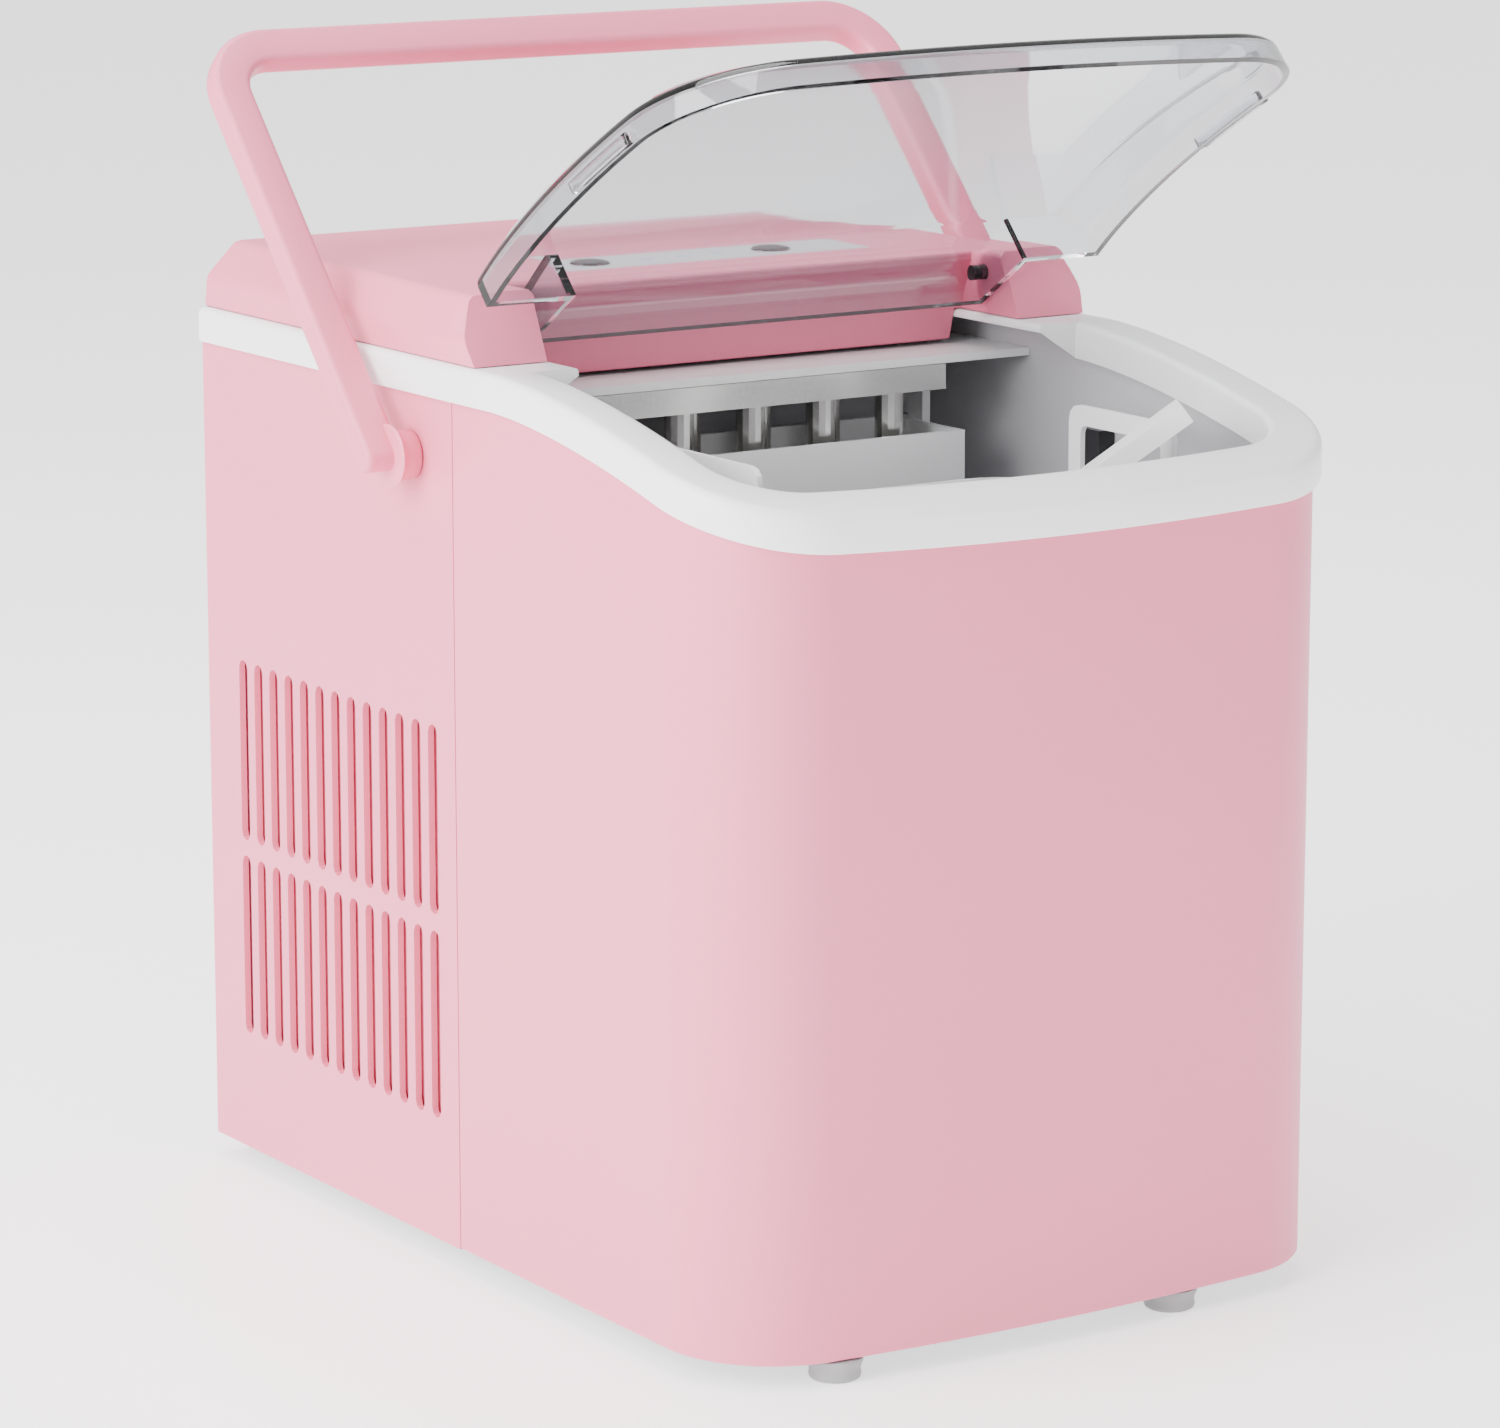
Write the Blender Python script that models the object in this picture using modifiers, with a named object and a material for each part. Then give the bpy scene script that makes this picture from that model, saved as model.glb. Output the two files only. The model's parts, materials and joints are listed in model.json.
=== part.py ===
"""Countertop ice maker with a clear lid, a carry handle, an ice basket and a scoop.

Metres, +Z up. The origin is on the floor under the middle of the body, the front faces -Y.
The lid is built closed about its hinge and then turned open; the handle leans back on its stop.
"""
import math

import bmesh
import bpy
from mathutils import Matrix, Vector

MM = 0.001

# ---- clearances -------------------------------------------------------------------------------
GAP = 0.3 * MM            # between pieces that touch
RUNNING = 0.4 * MM        # round a pin, a stem or a button
OVERCUT = 5 * MM          # how far a cutter runs past the face that it cuts
WELD_INSET = 0.05 * MM    # how far a joined-on piece sits inside the faces that it runs along

# ---- body -------------------------------------------------------------------------------------
BODY_WIDTH = 222 * MM
BODY_DEPTH = 314 * MM
FRONT_CORNER = 37 * MM
REAR_CORNER = 4 * MM
FRONT_CROWN = 3.3 * MM
SHELL_WALL = 2.2 * MM
SEAM_Y = 0.0
FOOT_HEIGHT = 7 * MM
FOOT_RADIUS = 8.3 * MM
FOOT_X = (-72 * MM, 49 * MM)
FOOT_Y = (-146 * MM, 138 * MM)
PAN_FLOOR = 2 * MM
PAN_WALL = 1.5 * MM
PAN_FLANGE = 12 * MM

# ---- rim --------------------------------------------------------------------------------------
RIM_TOP = FOOT_HEIGHT + 272.7 * MM
RIM_BAND = 11.2 * MM
RIM_OVERHANG = 2.5 * MM
RIM_WIDTH = 16 * MM
RIM_PLATE = 2.4 * MM
RIM_LIP = 2.2 * MM
RIM_STEP_Y = -28 * MM
RIM_REAR_OPENING = 84 * MM
WAVE_START = -25 * MM
WAVE_DROP = 26.9 * MM
WAVE_POWER = 1.6
WAVE_STEPS = 14

# ---- top housing ------------------------------------------------------------------------------
HOUSING_TOP = FOOT_HEIGHT + 293 * MM
HOUSING_FRONT = (112.4 * MM, 8 * MM, 107.5 * MM)
HOUSING_REAR = (110.2 * MM, 9.5 * MM, 99.5 * MM)
HOUSING_STEPS = 8
HOUSING_WALL = 2.5 * MM
CHEEK_FRONT_Y = -13.6 * MM
CHEEK_LEAN = 9.0 * MM
CHEEK_INNER = 86 * MM
APRON_Y = 12.5 * MM
APRON_LEAN = 7.5 * MM
APRON_DROP = 29 * MM

# ---- control panel ----------------------------------------------------------------------------
PANEL_CENTRE = (8 * MM, 49 * MM)
PANEL_SIZE = (112 * MM, 26 * MM)
PANEL_THICKNESS = 1.1 * MM
BUTTON_X = (-33 * MM, 34 * MM)
BUTTON_RADIUS = 6 * MM
BUTTON_STEM = 2.5 * MM
BUTTON_PROUD = 0.9 * MM
BUTTON_TRAVEL = 0.8 * MM
LENS_X = (-12 * MM, 1 * MM, 14 * MM)
LENS_RADIUS = 2 * MM
BOARD_SIZE = (140 * MM, 34 * MM, 1.6 * MM)
BOARD_DROP = 9 * MM

# ---- lid --------------------------------------------------------------------------------------
LID_HINGE_Y = 3.5 * MM
LID_HINGE_Z = FOOT_HEIGHT + 286 * MM
LID_OPEN = 42.5
LID_WALL = 2.2 * MM
LID_LIFT = 1.0 * MM
LID_SKIRT = 9 * MM
LID_END_Y = -18.5 * MM
LID_SIDE_STEPS = 10
LID_TOP = FOOT_HEIGHT + 291 * MM
LID_CHAMFER = 9.5 * MM
LID_DROP = 33 * MM
LID_TONGUE = 83.5 * MM
LID_TONGUE_REAR = 9.5 * MM
LID_FLANGE = 13 * MM
LID_HEEL = 10 * MM
LID_HEEL_STEPS = 4
LID_PIN_RADIUS = 2.4 * MM

# ---- carry handle -----------------------------------------------------------------------------
HANDLE_Y = 24 * MM
HANDLE_Z = FOOT_HEIGHT + 242.5 * MM
HANDLE_TILT = 48.2
HANDLE_REACH = 157.5 * MM
HANDLE_OUTER = 128.5 * MM
HANDLE_WIDTH = 12.5 * MM
HANDLE_THICKNESS = 8.5 * MM
HANDLE_BEND = 24 * MM
HANDLE_FOOT = 2.4 * MM
HANDLE_HUB = 7.6 * MM
HANDLE_HUB_FLARE = 9.8 * MM
HANDLE_HUB_END = 119.5 * MM
HANDLE_PIN = 3 * MM
HANDLE_PIN_HEAD = 6 * MM

# ---- vents ------------------------------------------------------------------------------------
VENT_COUNT = 13
VENT_PITCH = 10 * MM
VENT_WIDTH = 5.5 * MM
VENT_FIRST_Y = 13.6 * MM
VENT_HEIGHT = 59 * MM
VENT_TOP = FOOT_HEIGHT + 161.5 * MM
VENT_ROW_GAP = 5 * MM

# ---- tub, grid and drain ----------------------------------------------------------------------
TUB_WALL = 2 * MM
TUB_OUTER_INSET = 9 * MM
TUB_REAR_Y = 62 * MM
TUB_REAR_TOP = FOOT_HEIGHT + 250 * MM
TUB_LEDGE_Z = 152.7 * MM
TUB_FLOOR_Z = 68 * MM
TUB_LOWER_HALF = 68 * MM
TUB_LOWER_REAR = 45 * MM
TUB_LOWER_FRONT = -128 * MM
GRID_THICKNESS = 3 * MM
GRID_FRONT_Y = -22 * MM
GRID_SLOTS = 9
GRID_SLOT_WIDTH = 5 * MM
DRAIN_Y = -60 * MM
DRAIN_Z = 82 * MM
DRAIN_RADIUS = 7 * MM
DRAIN_BORE = 5.2 * MM
DRAIN_CAP_RADIUS = 11 * MM
DRAIN_CAP_PROUD = 3 * MM

# ---- basket -----------------------------------------------------------------------------------
BASKET_Y = -84 * MM
BASKET_TOP_HALF = (75 * MM, 51.5 * MM)
BASKET_TAPER = 4 * MM
BASKET_CORNER = 24 * MM
BASKET_HEIGHT = 82 * MM
BASKET_WALL = 2 * MM
BASKET_FLOOR = 2.5 * MM
BASKET_SLOT_HEIGHT = 58 * MM
BASKET_SLOT_LOW = 12 * MM
BASKET_LONG_SLOTS = (6, 16.5 * MM, 5.7 * MM)
BASKET_SHORT_SLOTS = (3, 19 * MM, 7.4 * MM)
LOOP_HALF = 26 * MM
LOOP_HEIGHT = 25 * MM
LOOP_BAR = 6 * MM

# ---- scoop ------------------------------------------------------------------------------------
SCOOP_TIP = (-30 * MM, -62 * MM, 161.0 * MM)
SCOOP_RISE = 36.0
SCOOP_TURN = 30.0
SCOOP_BOWL = 85 * MM
SCOOP_LENGTH = 155 * MM
SCOOP_RADIUS = 21 * MM
SCOOP_WALL = 1.8 * MM
SCOOP_GRIP = (13 * MM, 6 * MM)

# ---- ice making -------------------------------------------------------------------------------
FINGER_RADIUS = 4.5 * MM
FINGER_LENGTH = 32 * MM
FINGER_PITCH = 26 * MM
FINGER_ROWS = ((8 * MM, 5), (24 * MM, 4))
MANIFOLD_SIZE = (136 * MM, 32 * MM, 8 * MM)
FRAME_PLATE_Z = 266 * MM
FRAME_PLATE = 2.5 * MM
FRAME_Y = (-1 * MM, 52 * MM)
EAR_INNER = 76 * MM
EAR_THICKNESS = 3 * MM
TRAY_HINGE = (33 * MM, 242 * MM)
TRAY_HALF = 72 * MM
TRAY_DEPTH = 38 * MM
TRAY_HEIGHT = 26 * MM
TRAY_WALL = 2 * MM
TRUNNION_RADIUS = 3 * MM
SHOVEL_Y = 52 * MM
SHOVEL_HALF = 64 * MM
SHOVEL_HEIGHT = 30 * MM
SHOVEL_TEETH = 8

# ---- machinery --------------------------------------------------------------------------------
COMPRESSOR_CENTRE = (38 * MM, 108 * MM)
COMPRESSOR_RADIUS = 42 * MM
COMPRESSOR_TOP = 138 * MM
COMPRESSOR_PLATE = (92 * MM, 84 * MM, 2.5 * MM)
FAN_CENTRE = (88 * MM, 90 * MM)
FAN_RADIUS = 48 * MM
SHROUD_SIZE = 114 * MM
SHROUD_X = (-84 * MM, -71 * MM)
FAN_TIP_CLEARANCE = 2.5 * MM
FAN_BLADES = 5
MOTOR_RADIUS = 16 * MM
MOTOR_LENGTH = 20 * MM
CONDENSER_X = (-106 * MM, -87 * MM)
CONDENSER_HALF = 57 * MM
CONDENSER_FINS = 18
FIN_THICKNESS = 2.2 * MM
PUMP_CENTRE = (-10 * MM, 20 * MM)
PUMP_RADIUS = 17 * MM
PUMP_TOP = 52 * MM
HOSE_RADIUS = 4.5 * MM
PIPE_RADIUS = 3 * MM
INLET_CENTRE = (-62 * MM, 46 * MM)
INLET_SIZE = (27 * MM, 20 * MM)
INLET_DEPTH = 10.5 * MM
SCREW_INSET = (9 * MM, 16 * MM)
SCREW_HEAD = 3.6 * MM
SCREW_SHANK = 1.7 * MM

HALF_WIDTH = BODY_WIDTH / 2
HALF_DEPTH = BODY_DEPTH / 2
RIM_FRONT_Y = -HALF_DEPTH - RIM_OVERHANG
PAN_TOP = FOOT_HEIGHT + PAN_FLOOR
HOUSING_BOTTOM = RIM_TOP + GAP
BACK_INNER_Y = HALF_DEPTH - SHELL_WALL
TUB_INNER_HALF = HALF_WIDTH - TUB_OUTER_INSET - TUB_WALL
FRAME_HALF = TUB_INNER_HALF - GAP


# ---- scene, materials and small helpers -------------------------------------------------------
def clear_scene():
    for item in list(bpy.data.objects):
        bpy.data.objects.remove(item, do_unlink=True)


def new_collection(name):
    collection = bpy.data.collections.new(name)
    bpy.context.scene.collection.children.link(collection)
    return collection


def material(name, colour, roughness=0.4, metallic=0.0, alpha=1.0):
    """A Principled material; colour is linear RGB."""
    found = bpy.data.materials.get(name)
    if found:
        return found
    made = bpy.data.materials.new(name)
    made.use_nodes = True
    shader = made.node_tree.nodes["Principled BSDF"]
    shader.inputs["Base Color"].default_value = (*colour, 1.0)
    shader.inputs["Roughness"].default_value = roughness
    shader.inputs["Metallic"].default_value = metallic
    shader.inputs["Alpha"].default_value = alpha
    return made


def link(name, mesh, collection, finish=None):
    item = bpy.data.objects.new(name, mesh)
    collection.objects.link(item)
    if finish:
        mesh.materials.clear()
        mesh.materials.append(finish)
    return item


def mesh_from_bmesh(name, shape):
    mesh = bpy.data.meshes.new(name)
    shape.to_mesh(mesh)
    shape.free()
    return mesh


def as_part(name, mesh, finish):
    """A visible piece of the ice maker."""
    return link(name, mesh, PARTS, material(*finish))


def as_cutter(name, mesh):
    """A guide solid that only shapes a piece."""
    item = link(name, mesh, CUTTERS)
    item.hide_render = True
    item.display_type = "WIRE"
    return item


def boolean(target, tool, operation):
    step = target.modifiers.new(tool.name, "BOOLEAN")
    step.operation = operation
    step.solver = "EXACT"
    step.object = tool
    return target


def cut(target, *tools):
    for tool in tools:
        boolean(target, tool, "DIFFERENCE")
    return target


def join(target, *tools):
    for tool in tools:
        boolean(target, tool, "UNION")
    return target


def keep_inside(target, tool):
    return boolean(target, tool, "INTERSECT")


def evaluated_mesh(item):
    """The mesh of an object with its modifiers, with its doubles merged and its place applied."""
    bpy.context.view_layer.update()
    graph = bpy.context.evaluated_depsgraph_get()
    mesh = bpy.data.meshes.new_from_object(item.evaluated_get(graph))
    mesh.transform(item.matrix_world)
    shape = bmesh.new()
    shape.from_mesh(mesh)
    bmesh.ops.remove_doubles(shape, verts=shape.verts, dist=1e-6)
    shape.to_mesh(mesh)
    shape.free()
    return mesh


# ---- basic solids, each returned as a mesh ----------------------------------------------------
def outline_mesh(outlines, low, high):
    """Flat closed outlines in XY (the later ones are holes), filled and thickened from low to high."""
    curve = bpy.data.curves.new("outline", "CURVE")
    curve.dimensions = "2D"
    curve.fill_mode = "BOTH"
    curve.extrude = (high - low) / 2
    for points in outlines:
        spline = curve.splines.new("POLY")
        spline.points.add(len(points) - 1)
        for point, (x, y) in zip(spline.points, points):
            point.co = (x, y, 0.0, 1.0)
        spline.use_cyclic_u = True
    item = bpy.data.objects.new("outline", curve)
    bpy.context.scene.collection.objects.link(item)
    item.location.z = (high + low) / 2
    mesh = evaluated_mesh(item)
    bpy.data.objects.remove(item, do_unlink=True)
    shape = bmesh.new()
    shape.from_mesh(mesh)
    bmesh.ops.recalc_face_normals(shape, faces=shape.faces)
    shape.to_mesh(mesh)
    shape.free()
    return mesh


def turned_to(mesh, axis):
    """Turns a mesh made along Z: outlines in YZ run along X, outlines in XZ run along Y."""
    if axis == "X":
        mesh.transform(Matrix(((0, 0, 1, 0), (1, 0, 0, 0), (0, 1, 0, 0), (0, 0, 0, 1))))
    if axis == "Y":
        mesh.transform(Matrix(((1, 0, 0, 0), (0, 0, 1, 0), (0, 1, 0, 0), (0, 0, 0, 1))))
        mesh.flip_normals()
    return mesh


def prism(outlines, low, high, axis="Z"):
    if isinstance(outlines[0][0], float) or isinstance(outlines[0][0], int):
        outlines = [outlines]
    return turned_to(outline_mesh(outlines, low, high), axis)


def box(low, high):
    shape = bmesh.new()
    bmesh.ops.create_cube(shape, size=1.0)
    size = [b - a for a, b in zip(low, high)]
    centre = [(a + b) / 2 for a, b in zip(low, high)]
    bmesh.ops.scale(shape, vec=size, verts=shape.verts)
    bmesh.ops.translate(shape, vec=centre, verts=shape.verts)
    return mesh_from_bmesh("box", shape)


def cylinder(radius, low, high, centre=(0.0, 0.0), axis="Z", segments=24, top_radius=None):
    """A round bar from low to high along an axis; centre gives its other two coordinates in order."""
    shape = bmesh.new()
    wide = radius if top_radius is None else top_radius
    bmesh.ops.create_cone(shape, cap_ends=True, segments=segments, radius1=radius, radius2=wide,
                          depth=high - low)
    middle = (high + low) / 2
    turn = {"X": Matrix.Rotation(math.pi / 2, 4, "Y"), "Y": Matrix.Rotation(-math.pi / 2, 4, "X"),
            "Z": Matrix.Identity(4)}[axis]
    place = {"X": (middle, *centre), "Y": (centre[0], middle, centre[1]), "Z": (*centre, middle)}[axis]
    bmesh.ops.transform(shape, matrix=Matrix.Translation(place) @ turn, verts=shape.verts)
    return mesh_from_bmesh("cylinder", shape)


def arc(centre, radius, start, end, steps):
    """Points on an arc, angles in degrees."""
    points = []
    for k in range(steps + 1):
        angle = math.radians(start + (end - start) * k / steps)
        points.append((centre[0] + radius * math.cos(angle), centre[1] + radius * math.sin(angle)))
    return points


def rounded_rectangle(half_x, half_y, radius, centre=(0.0, 0.0), steps=4):
    points = []
    for k, (sx, sy) in enumerate(((1, 1), (-1, 1), (-1, -1), (1, -1))):
        corner = (centre[0] + sx * (half_x - radius), centre[1] + sy * (half_y - radius))
        points += arc(corner, radius, 90 * k, 90 * k + 90, steps)
    return points


def stadium(width, low, high, across, steps=4):
    """A slot outline with round ends; its long side is the second coordinate."""
    radius = width / 2
    ends = arc((across, high - radius), radius, 0, 180, steps)
    return ends + arc((across, low + radius), radius, 180, 360, steps)


def joined(meshes):
    """Several separate meshes in one, for a cutter made of solids that don't meet."""
    shape = bmesh.new()
    for mesh in meshes:
        shape.from_mesh(mesh)
    return mesh_from_bmesh("joined", shape)


def turned(profile, segments=24):
    """A solid turned about Z from a profile of (radius, height) points, top to bottom."""
    shape = bmesh.new()
    points = [shape.verts.new((radius, 0.0, height)) for radius, height in profile]
    for one, two in zip(points, points[1:]):
        shape.edges.new((one, two))
    mesh = mesh_from_bmesh("profile", shape)
    item = bpy.data.objects.new("profile", mesh)
    bpy.context.scene.collection.objects.link(item)
    screw = item.modifiers.new("turn", "SCREW")
    screw.steps = segments
    screw.render_steps = segments
    screw.use_merge_vertices = True
    screw.merge_threshold = 1e-5
    result = evaluated_mesh(item)
    bpy.data.objects.remove(item, do_unlink=True)
    return result


def tube(route, radius, sides=2):
    """A round pipe with closed ends along a route of points."""
    curve = bpy.data.curves.new("route", "CURVE")
    curve.dimensions = "3D"
    curve.bevel_depth = radius
    curve.bevel_resolution = sides
    curve.use_fill_caps = True
    spline = curve.splines.new("POLY")
    spline.points.add(len(route) - 1)
    for point, place in zip(spline.points, route):
        point.co = (*place, 1.0)
    item = bpy.data.objects.new("route", curve)
    bpy.context.scene.collection.objects.link(item)
    mesh = evaluated_mesh(item)
    bpy.data.objects.remove(item, do_unlink=True)
    shape = bmesh.new()
    shape.from_mesh(mesh)
    bmesh.ops.recalc_face_normals(shape, faces=shape.faces)
    return mesh_from_bmesh("tube", shape)


def rounded_route(corners, bend, steps=4):
    """A route through corner points with each inner corner rounded over the length bend."""
    route = [Vector(corners[0])]
    for before, corner, after in zip(corners, corners[1:], corners[2:]):
        corner = Vector(corner)
        start = corner + (Vector(before) - corner).normalized() * bend
        end = corner + (Vector(after) - corner).normalized() * bend
        for k in range(steps + 1):
            t = k / steps
            route.append((1 - t) ** 2 * start + 2 * t * (1 - t) * corner + t ** 2 * end)
    route.append(Vector(corners[-1]))
    return route


def moved(mesh, offset):
    mesh.transform(Matrix.Translation(offset))
    return mesh


def soften(item, width, segments=2, angle=40):
    """Rounded edges on a piece."""
    bevel = item.modifiers.new("edges", "BEVEL")
    bevel.width = width
    bevel.segments = segments
    bevel.limit_method = "ANGLE"
    bevel.angle_limit = math.radians(angle)
    bevel.harden_normals = False
    return item


# ---- plan outline of the body and the wave of the rim -----------------------------------------
def front_run(inset, end_y, side_steps=1, corner_steps=9, crown_steps=8):
    """The body's plan outline from the left side round the front to the right side, open at end_y."""
    corner_x = HALF_WIDTH - FRONT_CORNER
    crown_radius = (corner_x ** 2 + FRONT_CROWN ** 2) / (2 * FRONT_CROWN)
    crown_y = -HALF_DEPTH + crown_radius
    corner_y = crown_y - math.sqrt((crown_radius - FRONT_CORNER) ** 2 - corner_x ** 2)
    meet = math.degrees(math.atan2(corner_y - crown_y, -corner_x)) % 360
    left = arc((-corner_x, corner_y), FRONT_CORNER - inset, 180, meet, corner_steps)
    crown = arc((0.0, crown_y), crown_radius - inset, meet, 540 - meet, crown_steps)
    right = [(-x, y) for x, y in reversed(left)]
    x = HALF_WIDTH - inset
    side = [(-x, end_y + (corner_y - end_y) * k / side_steps) for k in range(side_steps)]
    return side + left + crown[1:-1] + right + [(-x, y) for x, y in reversed(side)]


def body_outline(inset, rear_y):
    """The whole plan outline, with small rear corners."""
    side = HALF_WIDTH - inset
    run = front_run(inset, rear_y - REAR_CORNER)
    right = arc((side - REAR_CORNER, rear_y - REAR_CORNER), REAR_CORNER, 0, 90, 3)
    left = [(-x, y) for x, y in reversed(right)]
    return run[1:-1] + right + left


def wave(y):
    """How far the rim has dropped at y."""
    share = max(0.0, WAVE_START - y) / (WAVE_START + HALF_DEPTH)
    return share ** WAVE_POWER


def wave_line(height, drop, front_y, rear_y):
    """A side profile that is flat behind WAVE_START and falls towards the front."""
    points = [(rear_y, height)]
    for k in range(WAVE_STEPS + 1):
        y = WAVE_START + (front_y - WAVE_START) * k / WAVE_STEPS
        points.append((y, height - drop * wave(y)))
    return points


def wave_slab(low, high, front_y, rear_y, half_width):
    """A slab across the machine between two wave surfaces; heights are those at the rear."""
    upper = wave_line(high, WAVE_DROP, front_y, rear_y)
    lower = wave_line(low, WAVE_DROP, front_y, rear_y)
    return prism(upper + lower[::-1], -half_width, half_width, "X")


def above_wave(height):
    """Everything above the wave surface that starts at this height at the rear."""
    front = RIM_FRONT_Y - OVERCUT
    rear = HALF_DEPTH + OVERCUT * 2
    line = wave_line(height, WAVE_DROP, front, rear)
    top = HOUSING_TOP + OVERCUT * 6
    return prism(line + [(front, top), (rear, top)], -BODY_WIDTH, BODY_WIDTH, "X")


# ---- finishes (linear colours) ----------------------------------------------------------------
PINK = ("pink_shell", (0.72, 0.42, 0.50), 0.35)
WHITE = ("white_plastic", (0.78, 0.78, 0.78), 0.35)
CLEAR = ("clear_plastic", (0.80, 0.82, 0.84), 0.05, 0.0, 0.25)
GREY = ("grey_plastic", (0.50, 0.50, 0.52), 0.4)
DARK = ("dark_plastic", (0.03, 0.03, 0.035), 0.4)
RUBBER = ("grey_rubber", (0.30, 0.30, 0.30), 0.6)
STEEL = ("steel", (0.55, 0.55, 0.56), 0.35, 1.0)
CHROME = ("bright_metal", (0.75, 0.75, 0.76), 0.15, 1.0)
COPPER = ("copper", (0.85, 0.45, 0.25), 0.3, 1.0)
ALUMINIUM = ("aluminium", (0.70, 0.70, 0.72), 0.4, 1.0)
BLACK_STEEL = ("black_steel", (0.02, 0.02, 0.02), 0.35, 0.0)
BOARD = ("board_green", (0.02, 0.16, 0.06), 0.5)
LENS = ("lens", (0.60, 0.75, 0.85), 0.2)


# ---- casing -----------------------------------------------------------------------------------
def make_base_pan():
    inset = SHELL_WALL + RUNNING
    rear = BACK_INNER_Y - RUNNING
    pan = as_part("base_pan", prism(body_outline(inset, rear), FOOT_HEIGHT, PAN_TOP + PAN_FLANGE), STEEL)
    inner = prism(body_outline(inset + PAN_WALL, rear - PAN_WALL), PAN_TOP, PAN_TOP + PAN_FLANGE + OVERCUT)
    return cut(pan, as_cutter("pan_inside", inner))


def make_feet():
    names = {(0, 0): "foot_front_left", (1, 0): "foot_front_right",
             (0, 1): "foot_rear_left", (1, 1): "foot_rear_right"}
    for (i, j), name in names.items():
        mesh = cylinder(FOOT_RADIUS * 0.92, 0.0, FOOT_HEIGHT - GAP, segments=24, top_radius=FOOT_RADIUS)
        foot = as_part(name, mesh, RUBBER)
        foot.location = (FOOT_X[i], FOOT_Y[j], 0.0)


def make_front_shell():
    end = SEAM_Y - GAP / 2
    ring = front_run(0.0, end) + front_run(SHELL_WALL, end)[::-1]
    shell = as_part("front_shell", prism(ring, FOOT_HEIGHT, RIM_TOP), PINK)
    top = above_wave(RIM_TOP - RIM_PLATE - GAP)
    hole = cylinder(DRAIN_BORE + RUNNING, HALF_WIDTH - OVERCUT * 2, HALF_WIDTH + OVERCUT,
                    (DRAIN_Y, DRAIN_Z), "X")
    return cut(shell, as_cutter("shell_top", top), as_cutter("drain_hole", hole))


def vent_cutters(side):
    slots = []
    low = HALF_WIDTH - SHELL_WALL - OVERCUT
    high = HALF_WIDTH + OVERCUT
    for row in range(2):
        top = VENT_TOP - row * (VENT_HEIGHT + VENT_ROW_GAP)
        for k in range(VENT_COUNT):
            outline = stadium(VENT_WIDTH, top - VENT_HEIGHT, top, VENT_FIRST_Y + VENT_PITCH * k)
            span = (low, high) if side > 0 else (-high, -low)
            slots.append(prism(outline, *span, "X"))
    return joined(slots)


def make_side_panels():
    top = RIM_TOP - RIM_PLATE - GAP
    for side, name in ((-1, "left"), (1, "right")):
        inner = side * (HALF_WIDTH - SHELL_WALL)
        outer = side * HALF_WIDTH
        low = (min(inner, outer), SEAM_Y + GAP / 2, FOOT_HEIGHT)
        high = (max(inner, outer), HALF_DEPTH, top)
        panel = as_part(name + "_side_panel", box(low, high), PINK)
        hole = cylinder(HANDLE_PIN + RUNNING, HALF_WIDTH - OVERCUT * 2, HALF_WIDTH + OVERCUT,
                        (HANDLE_Y, HANDLE_Z), "X", 16)
        if side < 0:
            hole.transform(Matrix.Translation((-2 * HALF_WIDTH + OVERCUT, 0, 0)))
        cut(panel, as_cutter(name + "_vents", vent_cutters(side)), as_cutter(name + "_pivot_hole", hole))


def screw_places():
    x = HALF_WIDTH - SHELL_WALL - GAP - SCREW_INSET[0]
    low = FOOT_HEIGHT + SCREW_INSET[1]
    high = RIM_TOP - RIM_BAND - SCREW_INSET[1]
    return ((-x, low), (x, low), (-x, high), (x, high))


def make_back_panel():
    half = HALF_WIDTH - SHELL_WALL - GAP
    top = RIM_TOP - RIM_PLATE - GAP
    panel = as_part("back_panel", box((-half, BACK_INNER_Y, FOOT_HEIGHT), (half, HALF_DEPTH, top)), PINK)
    x, z = INLET_CENTRE
    w, h = (size / 2 + RUNNING for size in INLET_SIZE)
    hole = box((x - w, BACK_INNER_Y - OVERCUT, z - h), (x + w, HALF_DEPTH + OVERCUT, z + h))
    span = (BACK_INNER_Y - OVERCUT, HALF_DEPTH + OVERCUT)
    rounds = [cylinder(SCREW_SHANK + GAP, *span, place, "Y", 12) for place in screw_places()]
    return cut(panel, as_cutter("inlet_hole", hole), as_cutter("screw_holes", joined(rounds)))


def make_screws():
    for k, (x, z) in enumerate(screw_places()):
        face = HALF_DEPTH + GAP
        profile = [(0.0, face + 1.6 * MM), (SCREW_HEAD * 0.75, face + 1.5 * MM), (SCREW_HEAD, face),
                   (SCREW_SHANK, face), (SCREW_SHANK, BACK_INNER_Y - 5 * MM), (0.0, BACK_INNER_Y - 6 * MM)]
        mesh = turned(profile, 16)
        mesh.transform(Matrix.Rotation(-math.pi / 2, 4, "X"))
        item = as_part("back_screw_%d" % (k + 1), mesh, CHROME)
        item.location = (x, 0.0, z)


def opening_outline(offset):
    """The bin mouth in the rim; behind the step it narrows to clear the cheeks."""
    inset = RIM_WIDTH - RIM_OVERHANG - offset
    narrow = RIM_REAR_OPENING + offset
    rear = HALF_DEPTH + RIM_OVERHANG - RIM_WIDTH + offset
    step = RIM_STEP_Y + offset
    run = front_run(inset, step)
    return run + [(narrow, step), (narrow, rear), (-narrow, rear), (-narrow, step)]


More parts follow.
